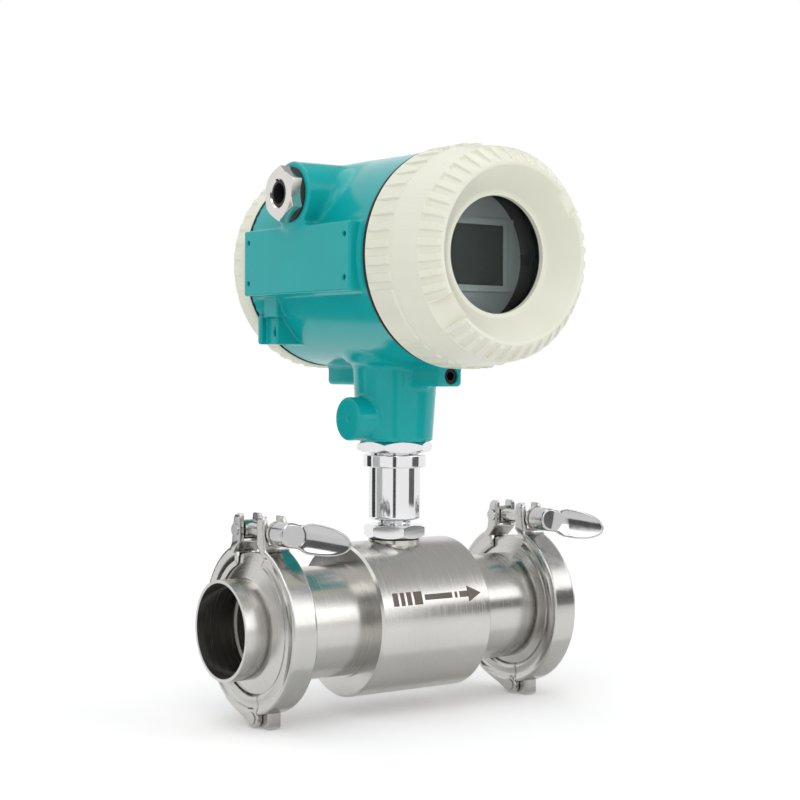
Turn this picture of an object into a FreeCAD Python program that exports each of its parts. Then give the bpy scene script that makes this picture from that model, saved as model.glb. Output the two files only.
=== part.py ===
"""Turbine flow meter with a local display, as a parametric FreeCAD document.

The pipe runs along X, from the inlet end at the origin to the outlet end.  The display looks
towards -Y and the electronics housing stands above the pipe on a neck.  All sizes are in
millimetres.  Pieces are drawn about the meter's mid plane and then placed along the pipe.
"""
import FreeCAD
import Part
import os
import re
import Sketcher

# --------------------------------------------------------------------------- driving sizes
SIZES = {
    # pipe line: welded ferrules, gaskets and the meter's own clamp flanges
    "bore_r": 20, "tube_r": 21.35, "flange_r": 32, "flange_edge": 2, "flange_slope": 20,
    "joint_half": 70, "gasket_thick": 1.6, "ferrule_reach": 19,
    "bead_r": 26.5, "bead_wide": 2.4, "bead_rise": 0.7, "seat_gap": 0.1,
    "gasket_back": 0.35,
    # meter body
    "stub_r": 24.2, "stub_ring": 1, "body_rise": 1.7, "body_half": 29.4, "body_bevel": 1,
    "boss_r": 11.6, "boss_rise": 0.3, "rotor_bore_r": 19.2, "shoulder_half": 18,
    "pocket_wall": 2.6,
    # flow guides with their retaining rings
    "guide_end": 42, "hub_r": 7, "hub_nose": 40, "vane_thick": 1.2, "vane_count": 6,
    "ring_thick": 1.1, "ring_depth": 1.2, "ring_hold": 1.4, "ring_mouth": 12,
    # rotor, shaft and bearings
    "rotor_half": 12, "rotor_play": 0.8, "blade_tip_r": 18.8, "blade_thick": 1,
    "blade_half": 8, "blade_lean": 4.6, "blade_count": 8,
    "bearing_r": 2.5, "bearing_long": 6, "shaft_r": 1, "run_gap": 0.05,
    # pipe clamps
    "clamp_wall": 3.5, "clamp_half": 6, "lip_hold": 4.5, "clamp_bevel": 2, "clamp_gap": 0.25,
    "clamp_groove": 1, "clamp_edge": 1, "ear_inner": 6.8, "ear_outer": 13.8, "ear_rise": 7,
    "ear_root": 6.5, "front_flare": 4.5, "rear_flare": 8, "ear_gap": 5, "slot_half": 3.5,
    "slot_sunk": 0.3, "ear_corner": 2.1, "ear_lean": 1,
    "arm_turn_angle": 30, "arm_lean_angle": 24,
    "hinge_y": -4, "hinge_drop": 0.9, "hinge_pin_r": 1.9, "lug_r": 4, "knuckle_half": 3,
    "knuckle_gap": 0.3, "seam_y": -7.5, "seam_gap": 0.4,
    # swing bolt and wing nut
    "bolt_rise": 4.5, "bolt_y": 10, "bolt_r": 3, "eye_r": 4.2, "eye_half": 3.2, "bolt_pin_r": 2,
    "pin_head": 0.6, "pin_head_r": 2.7, "washer_gap": 0.25, "washer_r": 5.4, "washer_thick": 1.2,
    "nut_r": 5.15, "nut_long": 9, "nut_bevel": 1, "bolt_past": 0.6, "thread_gap": 0.1,
    "wing_long": 29, "wing_half": 6, "wing_thick": 1.6, "wing_neck": 2.6,
    "wing_sweep_angle": 45, "wing_droop_angle": 12,
    # neck stack
    "seal_r": 10.95, "seal_thick": 0.8, "thread_r": 7.6, "lock_nut_flats": 24,
    "lock_nut_high": 5.8, "thread_show": 2.2, "barrel_r": 11.5, "barrel_long": 23.6,
    "coil_room_r": 5.2, "barrel_floor": 1.4, "collar_r": 14, "collar_high": 5.3,
    "stem_r": 11.15, "stem_bore_r": 4, "stem_foot_r": 9.5, "stem_foot_long": 8,
    "neck_nut_flats": 30, "neck_nut_high": 4.6, "neck_nut_lift": 1.25, "stem_reach": 24,
    "magnet_r": 2.9, "magnet_long": 13, "coil_r": 5.1, "coil_long": 16,
    # electronics housing
    "neck_show": 33.65, "head_r": 46, "head_front": -41.3, "head_rear": 52.4,
    "spigot_step": 2, "spigot_wall": 2.5, "spigot_long": 12, "rear_spigot_long": 8.5,
    "ledge": 1, "web_front": 2, "web_thick": 4,
    "neck_r": 16.8, "neck_top_r": 19.5, "neck_boss_r": 9.5, "neck_boss_face": 25.5,
    "neck_boss_rise": 10.25, "dimple_r": 2, "root": 10, "lug_half": 5.9, "lug_show": 8.8,
    "rear_lug_end": 46, "lock_rise": 4.5, "lock_hole_r": 3.5, "lock_long": 9, "lock_sunk": 1,
    "pad_rise": 5, "pad_front": -37.7, "pad_rear": 46, "pad_drop": 15.2, "pad_high": 29,
    "plate_pitch_y": 76.5, "plate_pitch_z": 18, "plate_hole_r": 1.15, "plate_hole_deep": 4,
    "ground_back": 4, "ground_front": 32, "ground_rear": 49, "ground_drop": 36.7,
    "ground_high": 13.5, "ground_lip": 1.5, "ground_recess": 3, "ground_hole_r": 1.65,
    "ground_hole_deep": 7, "ground_hole_y": 38.5, "ground_hole_rise": 5.5,
    "riser_step": 2.2, "riser_front": 29, "riser_wide": 11,
    # cable entries
    "entry_y": 5.5, "entry_rise": 27.4, "entry_deep": 16, "entry_r": 14.2, "entry_show": 6,
    "entry_thread_r": 8, "entry_washer_r": 11.8, "entry_washer_thick": 1, "gland_flats": 21, "gland_high": 5.5,
    "gland_bore_r": 5.7, "gland_seal_r": 4.5, "gland_long": 13, "gland_seal_back": 0.5,
    "plug_r": 11, "plug_high": 4, "plug_key_flats": 8, "plug_key_deep": 3,
    # covers
    "cover_over": 1.2, "cover_gap": 0.3, "cover_thread_gap": 0.1, "band_long": 19,
    "cone_long": 14.9, "cone_fall": 3, "crest_long": 7.5, "crest_fall": 7.2, "crest_flat": 0.8,
    "shoulder": 3.2, "dish_deep": 10.7, "dish_fall": 10.6, "window_edge": 2,
    "window_step": 0.5, "lip_thick": 2.3, "glass_room_wall": 5.7, "ring_room_long": 9,
    "notch_wide": 12.5, "notch_deep": 4, "notch_turn": 37.5,
    "rear_cover_long": 13, "rear_cover_wall": 3.5, "rear_cover_round": 2.5,
    "o_ring_thick_r": 0.9, "o_ring_play": 0.2, "o_ring_room_long": 2.4,
    "glass_hold": 7.6, "glass_thick": 4, "glass_gasket_thick": 0.8, "glass_ring_thick": 2.5,
    "glass_ring_hold": 4.5,
    # display and boards
    "carrier_sunk": 8.3, "carrier_thick": 2, "carrier_play": 0.5, "bezel_edge": 10, "bezel_thick": 2.5,
    "frame_rise": 1, "frame_half_x": 25.3, "frame_half_z": 15.6, "lcd_half_x": 22.3,
    "lcd_half_z": 12.9, "lcd_rise": 1.3, "lcd_sunk": 0.5,
    "screw_out": 3.5, "screw_count": 3, "screw_head_r": 2.8, "screw_head_high": 2,
    "screw_r": 1.5, "screw_long": 7, "screw_gap": 0.1,
    "board_back": 17, "board_thick": 1.6, "board_play": 2, "chip_unit": 1, "standoff_r": 3,
    "terminal_half": 25, "terminal_drop": 11.2, "terminal_high": 16, "terminal_deep": 14,
    "terminal_count": 6, "terminal_pitch": 8, "terminal_screw_r": 2.4, "terminal_screw_deep": 5,
}

# ------------------------------------------------------------------- sizes that follow others
FORMULAS = {
    "mid": "joint_half + ferrule_reach",
    "face": "joint_half - gasket_thick / 2",
    "bead_in": "bead_r - bead_wide / 2",
    "bead_out": "bead_r + bead_wide / 2",
    "bead_half": "gasket_thick / 2 + bead_rise",
    "bead_floor": "bead_rise + seat_gap",
    "tube_cone": "flange_edge + (flange_r - tube_r) * tan(flange_slope)",
    "stub_cone": "flange_edge + (flange_r - stub_r) * tan(flange_slope)",
    "body_r": "flange_r + body_rise",
    "boss_top": "body_r + boss_rise",
    "pocket_floor": "bore_r + pocket_wall",
    "pocket_r": "thread_r + thread_gap",
    "hub_end": "rotor_half + rotor_play",
    "shaft_half": "hub_end + bearing_long - 0.5",
    "ring_r": "bore_r + ring_depth - seat_gap",
    "lip_x": "gasket_thick / 2 + flange_edge + (flange_r - clamp_lip_r) * tan(flange_slope)"
             " + clamp_gap / cos(flange_slope)",
    "clamp_lip_r": "flange_r - lip_hold",
    "groove_r": "flange_r + clamp_groove",
    "clamp_r": "groove_r + clamp_wall",
    "bolt_z": "clamp_r + bolt_rise",
    "ear_top": "bolt_z + ear_rise",
    "slot_floor": "clamp_r - slot_sunk",
    "groove_x": "lip_x - (groove_r - clamp_lip_r) * tan(flange_slope)",
    "hinge_z": "-sqrt(clamp_r ^ 2 - hinge_y ^ 2) - hinge_drop",
    "lug_room_r": "lug_r + knuckle_gap",
    "washer_y": "-ear_outer - washer_gap",
    "nut_y": "washer_y - washer_thick",
    "nut_end": "nut_y - nut_long",
    "seal_top": "boss_top + seal_thick",
    "lock_nut_top": "seal_top + lock_nut_high",
    "barrel_low": "lock_nut_top + thread_show",
    "barrel_top": "barrel_low + barrel_long",
    "collar_top": "barrel_top + collar_high",
    "neck_nut_low": "collar_top + neck_nut_lift",
    "neck_low": "neck_nut_low + neck_nut_high",
    "coil_floor": "pocket_floor + seat_gap + barrel_floor",
    "stem_top": "neck_low + stem_reach",
    "head_z": "neck_low + neck_show + head_r",
    "spigot_r": "head_r - spigot_step",
    "cavity_r": "spigot_r - spigot_wall",
    "front_cavity_r": "cavity_r - ledge",
    "web_rear": "web_front + web_thick",
    "pad_face": "head_r + pad_rise",
    "ground_face": "head_r - ground_back",
    "riser_face": "ground_face + riser_step",
    "entry_face": "head_r + entry_show",
    "head_root": "head_z - head_r + root",
    "neck_boss_z": "neck_low + neck_boss_rise",
    "lug_low": "head_z - head_r - lug_show",
    "lock_z": "lug_low + lock_rise",
    "pad_low": "head_z - pad_drop",
    "pad_top": "pad_low + pad_high",
    "ground_low": "head_z - ground_drop",
    "ground_top": "ground_low + ground_high",
    "ground_hole_z": "ground_low + ground_hole_rise",
    "entry_z": "head_z + entry_rise",
    "front_spigot_end": "head_front - spigot_long",
    "rear_spigot_end": "head_rear + rear_spigot_long",
    "cover_start": "head_front - cover_gap",
    "cover_bore_r": "spigot_r + cover_thread_gap",
    "cover_r": "head_r + cover_over",
    "cone_end_r": "cover_r - cone_fall",
    "crest_r": "cone_end_r - crest_fall",
    "dish_r": "crest_r - dish_fall",
    "window_r": "dish_r - window_edge",
    "glass_room_r": "cover_bore_r - glass_room_wall",
    "o_ring_r": "spigot_r + o_ring_thick_r + o_ring_play",
    "o_ring_room": "o_ring_r + o_ring_thick_r + o_ring_play",
    "glass_r": "window_r + glass_hold",
    "glass_ring_r": "glass_r - glass_ring_hold",
    "band_end": "cover_start - band_long",
    "cone_end_y": "band_end - cone_long",
    "crest_y": "cone_end_y - crest_long",
    "dish_y": "crest_y + dish_deep",
    "window_y": "dish_y + window_step",
    "cover_lip_y": "window_y + lip_thick",
    "ring_room_y": "cover_lip_y + ring_room_long",
    "rear_start": "head_rear + cover_gap",
    "rear_end": "rear_start + rear_cover_long",
    "glass_front": "cover_lip_y + glass_gasket_thick",
    "glass_back": "glass_front + glass_thick",
    "plate_y": "(pad_front + pad_rear) / 2",
    "plate_z": "(pad_low + pad_top) / 2",
    "entry_hole_r": "entry_thread_r + thread_gap",
    "gland_face": "entry_face + entry_washer_thick",
    "carrier_y": "front_spigot_end + carrier_sunk",
    "carrier_r": "front_cavity_r - carrier_play",
    "bezel_r": "carrier_r - bezel_edge",
    "screw_circle": "bezel_r + screw_out",
    "board_r": "front_cavity_r - board_play",
    "carrier_front": "carrier_y - carrier_thick",
    "bezel_front": "carrier_front - bezel_thick",
    "frame_front": "bezel_front - frame_rise",
    "lcd_z": "head_z + lcd_rise",
    "board_y": "carrier_y + board_back",
    "board_front": "board_y - board_thick",
    "terminal_low": "head_z - terminal_drop",
}

AXIS_TURN = {
    "x": FreeCAD.Rotation(FreeCAD.Vector(0, 1, 0), 90),
    "y": FreeCAD.Rotation(FreeCAD.Vector(1, 0, 0), -90),
    "z": FreeCAD.Rotation(),
}
NODES = []

doc = FreeCAD.newDocument("turbine_flow_meter")
sheet = doc.addObject("Spreadsheet::Sheet", "dim")


# ------------------------------------------------------------------------------- helpers
def fill_sheet():
    """Write every driving size as a named cell."""
    for row, (name, size) in enumerate(SIZES.items(), start=1):
        sheet.set(f"A{row}", name)
        sheet.set(f"B{row}", str(size))
        sheet.setAlias(f"B{row}", name)
    doc.recompute()


def full(text):
    """Spell an expression out, with sheet cells for sizes and brackets for formulas."""
    def swap(found):
        word = found.group()
        if word in FORMULAS:
            return "(" + full(FORMULAS[word]) + ")"
        return "dim." + word if word in SIZES else word
    return re.sub(r"[a-z]\w*", swap, str(text))


def value(text):
    """The number that an expression stands for."""
    return float(sheet.evalExpression(full(text)))


def bind(feature, **sizes):
    """Tie properties of a feature to expressions."""
    for name, text in sizes.items():
        feature.setExpression(name, full(text))


def place(feature, spot, turn=None):
    """Tie a feature's place to three expressions and give it a fixed turn."""
    if turn is not None:
        feature.Placement = FreeCAD.Placement(FreeCAD.Vector(), turn)
    for axis, text in zip("xyz", spot):
        feature.setExpression(f"Placement.Base.{axis}", full(text))
    return feature


def cylinder(name, axis, radius, low, high, across=("0", "0")):
    """A cylinder along an axis from low to high; across gives its other two coordinates."""
    rod = doc.addObject("Part::Cylinder", name)
    bind(rod, Radius=radius, Height=f"({high}) - ({low})")
    spot = list(across)
    spot.insert("xyz".index(axis), low)
    return place(rod, spot, AXIS_TURN[axis])


def block(name, low, high):
    """A box between two corners."""
    box = doc.addObject("Part::Box", name)
    length, width, height = (f"({b}) - ({a})" for a, b in zip(low, high))
    bind(box, Length=length, Width=width, Height=height)
    return place(box, low)


def hexagon(name, axis, flats, low, high, across=("0", "0"), turn=0):
    """A hexagonal prism along an axis, sized across its flats and turned about the axis."""
    prism = doc.addObject("Part::Prism", name)
    prism.Polygon = 6
    bind(prism, Circumradius=f"({flats}) / 2 / cos(30)", Height=f"({high}) - ({low})")
    spot = list(across)
    spot.insert("xyz".index(axis), low)
    about = FreeCAD.Rotation(FreeCAD.Vector(0, 0, 1), turn)
    return place(prism, spot, AXIS_TURN[axis].multiply(about))


def sketch(body, name, role, points):
    """A closed polygon on one of the body's own planes, every corner tied to expressions."""
    outline = body.newObject("Sketcher::SketchObject", name)
    plane = next(item for item in body.Origin.OriginFeatures if item.Role == role)
    outline.AttachmentSupport = [(plane, "")]
    outline.MapMode = "FlatFace"
    spots = [FreeCAD.Vector(value(a), value(b), 0) for a, b in points]
    count = len(spots)
    sides = [Part.LineSegment(spots[i], spots[(i + 1) % count]) for i in range(count)]
    outline.addGeometry(sides, False)
    for i in range(count):
        outline.addConstraint(Sketcher.Constraint("Coincident", i, 2, (i + 1) % count, 1))
    for i, (across, up) in enumerate(points):
        for kind, text in (("DistanceX", across), ("DistanceY", up)):
            rule = Sketcher.Constraint(kind, -1, 1, i, 1, value(text))
            outline.setExpression(f"Constraints[{outline.addConstraint(rule)}]", full(text))
    return outline


def turned(name, axis, points):
    """A body turned about an axis from a profile of (along the axis, radius) points."""
    body = doc.addObject("PartDesign::Body", name)
    if axis == "z":
        outline = sketch(body, f"{name}_profile", "XZ_Plane", [(r, a) for a, r in points])
    else:
        role = {"x": "XZ_Plane", "y": "YZ_Plane"}[axis]
        outline = sketch(body, f"{name}_profile", role, points)
    turn = body.newObject("PartDesign::Revolution", f"{name}_turn")
    turn.Profile = outline
    turn.ReferenceAxis = (outline, ["V_Axis" if axis == "z" else "H_Axis"])
    turn.Angle = 360
    return body


def plate(name, role, points, half):
    """A body padded equally to both sides of one of its planes."""
    body = doc.addObject("PartDesign::Body", name)
    outline = sketch(body, f"{name}_profile", role, points)
    pad = body.newObject("PartDesign::Pad", f"{name}_pad")
    pad.Profile = outline
    pad.Midplane = True
    bind(pad, Length=f"2 * ({half})")
    return body


def repeat(body, feature, axis_role, count):
    """Repeat a body's feature around one of its own axes."""
    ring = body.newObject("PartDesign::PolarPattern", f"{body.Name}_ring")
    ring.Originals = [feature]
    axis = next(item for item in body.Origin.OriginFeatures if item.Role == axis_role)
    ring.Axis = (axis, [""])
    ring.Angle = 360
    bind(ring, Occurrences=count)
    body.Tip = ring
    return ring


def fuse(name, *parts):
    joined = doc.addObject("Part::MultiFuse", name)
    joined.Shapes = list(parts)
    joined.Refine = True
    return joined


def cut(name, base, *tools):
    """Take one tool, or several fused together, out of a base."""
    result = doc.addObject("Part::Cut", name)
    result.Base = base
    result.Tool = tools[0] if len(tools) == 1 else fuse(f"{name}_tools", *tools)
    return result


def common(name, first, second):
    result = doc.addObject("Part::Common", name)
    result.Base = first
    result.Tool = second
    return result


def group(name, parts):
    """Separate solids kept together as one node."""
    bundle = doc.addObject("Part::Compound", name)
    bundle.Links = parts
    return bundle


def node(label, feature, along="mid", up="0"):
    """Name a finished piece and set it along the pipe."""
    feature.Label = label
    for axis, shift in (("x", along), ("z", up)):
        ties = {path.lstrip("."): text for path, text in feature.ExpressionEngine}
        own = ties.get(f"Placement.Base.{axis}", "0")
        feature.setExpression(f"Placement.Base.{axis}", f"({own}) + {full(shift)}")
    NODES.append(feature)
    return feature


# --------------------------------------------------------------------------- the pipe line
def bead_groove(side, at_face):
    """Corners of the gasket groove in a flange face; side is the way into the metal."""
    return [(at_face, "bead_in - seat_gap"), (f"({at_face}) {side} bead_floor", "bead_in"),
            (f"({at_face}) {side} bead_floor", "bead_out"), (at_face, "bead_out + seat_gap")]


def make_ferrules():
    """Welded ferrules: a short tube with a clamp flange, one at each end."""
    end = "joint_half + ferrule_reach"
    flange = "joint_half + gasket_thick / 2"
    outline = [(end, "bore_r"), (flange, "bore_r"), *bead_groove("+", flange),
               (flange, "flange_r"), (f"{flange} + flange_edge", "flange_r"),
               (f"{flange} + tube_cone", "tube_r"), (end, "tube_r")]
    node("outlet_ferrule", turned("outlet_ferrule", "x", outline))
    mirrored = [(f"-({along})", radius) for along, radius in outline]
    node("inlet_ferrule", turned("inlet_ferrule", "x", mirrored))


def make_gaskets():
    """Beaded gaskets between the flanges."""
    edge = "gasket_thick / 2"
    right = [(edge, "bore_r + gasket_back"), (edge, "bead_in"), ("bead_half", "bead_in + seat_gap"),
             ("bead_half", "bead_out - seat_gap"), (edge, "bead_out"), (edge, "flange_r")]
    left = [(f"-({along})", radius) for along, radius in reversed(right)]
    for name, side in (("inlet_gasket", "-"), ("outlet_gasket", "")):
        node(name, turned(name, "x", right + left), along=f"mid + ({side}joint_half)")


def make_meter_body():
    """The flanged meter tube, with a boss and a blind pocket for the pick-off on top."""
    ring_x = "guide_end + ring_thick + seat_gap"
    outside = [("face", "flange_r"), ("face - flange_edge", "flange_r"),
               ("face - stub_cone", "stub_r"), ("body_half + stub_ring", "stub_r"),
               ("body_half + stub_ring", "stub_r + stub_ring"),
               ("body_half", "stub_r + stub_ring"), ("body_half", "body_r - body_bevel"),
               ("body_half - body_bevel", "body_r")]
    inside = [("shoulder_half", "rotor_bore_r"), ("shoulder_half", "bore_r"),
              ("guide_end", "bore_r"), ("guide_end", "bore_r + ring_depth"),
              (ring_x, "bore_r + ring_depth"), (ring_x, "bore_r"), ("face", "bore_r"),
              *bead_groove("-", "face")]
    right = inside + outside
    left = [(f"-({along})", radius) for along, radius in reversed(right)]
    tube = turned("meter_tube", "x", right + left)
    boss = cylinder("meter_boss", "z", "boss_r", "bore_r + pocket_wall", "boss_top")
    solid = fuse("meter_blank", tube, boss)
    pocket = cylinder("meter_pocket", "z", "pocket_r", "pocket_floor", "boss_top + 1")
    node("meter_body", cut("meter_body", solid, pocket))


def make_flow_guides():
    """Hub and vanes ahead of and behind the rotor, each held by a ring in its groove."""
    for name, side in (("upstream", "-"), ("downstream", "")):
        hub = [("hub_end", "0"), ("hub_end", "bearing_r"),
               ("hub_end + bearing_long", "bearing_r"), ("hub_end + bearing_long", "0")]
        hub = [("hub_nose", "0"), ("hub_nose - 1.5", "hub_r / 2"), ("hub_nose - 6", "hub_r * 0.86"),
               ("hub_nose - 12", "hub_r"), ("hub_end", "hub_r")] + hub[1:]
        body = turned(f"{name}_hub", "x", [(f"{side}({a})", r) for a, r in hub])
        vane = [("shoulder_half", "hub_r / 2"), ("guide_end", "hub_r / 2"),
                ("guide_end", "bore_r - seat_gap"), ("shoulder_half", "bore_r - seat_gap")]
        outline = sketch(body, f"{name}_vane_profile", "XZ_Plane",
                         [(f"{side}({a})", r) for a, r in vane])
        pad = body.newObject("PartDesign::Pad", f"{name}_vane")
        pad.Profile = outline
        pad.Midplane = True
        bind(pad, Length="vane_thick")
        repeat(body, pad, "X_Axis", "vane_count")
        room = cylinder(f"{name}_bearing_room", "x", "bearing_r",
                        f"min({side}hub_end; {side}(hub_end + bearing_long))",
                        f"max({side}hub_end; {side}(hub_end + bearing_long))")
        node(f"{name}_guide", cut(f"{name}_guide", body, room))

        near, far = "guide_end", "guide_end + ring_thick"
        ring = turned(f"{name}_ring", "x", [
            (f"{side}({near})", "bore_r - ring_hold"), (f"{side}({near})", "ring_r"),
            (f"{side}({far})", "ring_r"), (f"{side}({far})", "bore_r - ring_hold")])
        mouth = block(f"{name}_ring_mouth", (f"min({side}({near}); {side}({far})) - 1",
                                             "-ring_mouth / 2", "-ring_r - 1"),
                      (f"max({side}({near}); {side}({far})) + 1", "ring_mouth / 2", "0"))
        node(f"{name}_retainer", cut(f"{name}_retainer", ring, mouth))


def make_rotor():
    """Bladed rotor pressed on its shaft, with a bearing bush at each end."""
    body = turned("rotor_hub", "x", [
        ("-rotor_half", "shaft_r"), ("-rotor_half", "hub_r - 1"), ("-rotor_half + 1", "hub_r"),
        ("rotor_half - 1", "hub_r"), ("rotor_half", "hub_r - 1"), ("rotor_half", "shaft_r")])
    blade = [("-blade_half", "-blade_lean - blade_thick / 2"),
             ("blade_half", "blade_lean - blade_thick / 2"),
             ("blade_half", "blade_lean + blade_thick / 2"),
             ("-blade_half", "-blade_lean + blade_thick / 2")]
    outline = sketch(body, "blade_profile", "XY_Plane", blade)
    plane = outline.AttachmentOffset
    outline.AttachmentOffset = FreeCAD.Placement(plane.Base, plane.Rotation)
    outline.setExpression("AttachmentOffset.Base.z", full("hub_r / 2"))
    pad = body.newObject("PartDesign::Pad", "blade")
    pad.Profile = outline
    bind(pad, Length="blade_tip_r")
    repeat(body, pad, "X_Axis", "blade_count")
    swept = cylinder("rotor_sweep", "x", "blade_tip_r", "-rotor_half", "rotor_half")
    shaft_room = cylinder("rotor_bore", "x", "shaft_r", "-rotor_half - 1", "rotor_half + 1")
    node("rotor", cut("rotor", common("rotor_blank", body, swept), shaft_room))
    node("rotor_shaft", cylinder("rotor_shaft", "x", "shaft_r", "-shaft_half", "shaft_half"))
    for name, side in (("upstream", "-"), ("downstream", "")):
        near, far = f"{side}hub_end", f"{side}(hub_end + bearing_long)"
        node(f"{name}_bearing", turned(f"{name}_bearing", "x", [
            (near, "shaft_r + run_gap"), (near, "bearing_r"), (far, "bearing_r"),
            (far, "shaft_r + run_gap")]))


# --------------------------------------------------------------------------- pipe clamps
def clamp_ring(name):
    """The clamp's full ring, with its bevelled lips and rounded outer edges."""
    right = [("clamp_half", "clamp_lip_r + clamp_bevel"), ("clamp_half", "clamp_r - clamp_edge"),
             ("clamp_half - clamp_edge", "clamp_r")]
    left = [(f"-({along})", radius) for along, radius in reversed(right)]
    return turned(name, "x", right + left + [("-lip_x", "clamp_lip_r"), ("lip_x", "clamp_lip_r")])


def flange_room(name):
    """The space inside the clamp that the two flanges and the gasket take."""
    return turned(name, "x", [("-lip_x", "0"), ("-lip_x", "clamp_lip_r"), ("-groove_x", "groove_r"),
                              ("groove_x", "groove_r"), ("lip_x", "clamp_lip_r"), ("lip_x", "0")])


def ear(name, side, shoulder, flare):
    """The pair of cheeks on top of a clamp half that the swing bolt lies between.

    Below the shoulder the ear's outside runs down at 45 degrees into the ring, by the flare.
    """
    near, far = f"{side}ear_inner", f"{side}ear_outer"
    cheek = plate(f"{name}_side", "YZ_Plane", [
        (near, "clamp_r - ear_root"), (near, "ear_top"),
        (f"{side}(ear_outer - ear_lean)", "ear_top"), (far, "bolt_z"), (far, shoulder),
        (f"{side}(ear_outer + {flare})", f"{shoulder} - {flare}")], "clamp_half")
    corner = "ear_top - ear_corner"
    front = plate(f"{name}_face", "XZ_Plane", [
        ("-clamp_half", "0"), ("-clamp_half", corner), ("-clamp_half + ear_corner", "ear_top"),
        ("clamp_half - ear_corner", "ear_top"), ("clamp_half", corner), ("clamp_half", "0")],
        "clamp_r")
    return common(name, cheek, front)


def ear_mouth(name, side):
    """The opening between the ears, which widens at 45 degrees and ends the inner lips."""
    reach, drop = f"{side}(ear_inner + ear_gap)", "(slot_floor - ear_gap)"
    return plate(name, "YZ_Plane", [
        ("0", "slot_floor"), (f"{side}ear_inner", "slot_floor"), (reach, drop),
        (f"{reach} * 0.7", f"{drop} * 0.7"), ("0", f"{drop} * 0.7")], "clamp_half + 1")


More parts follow.
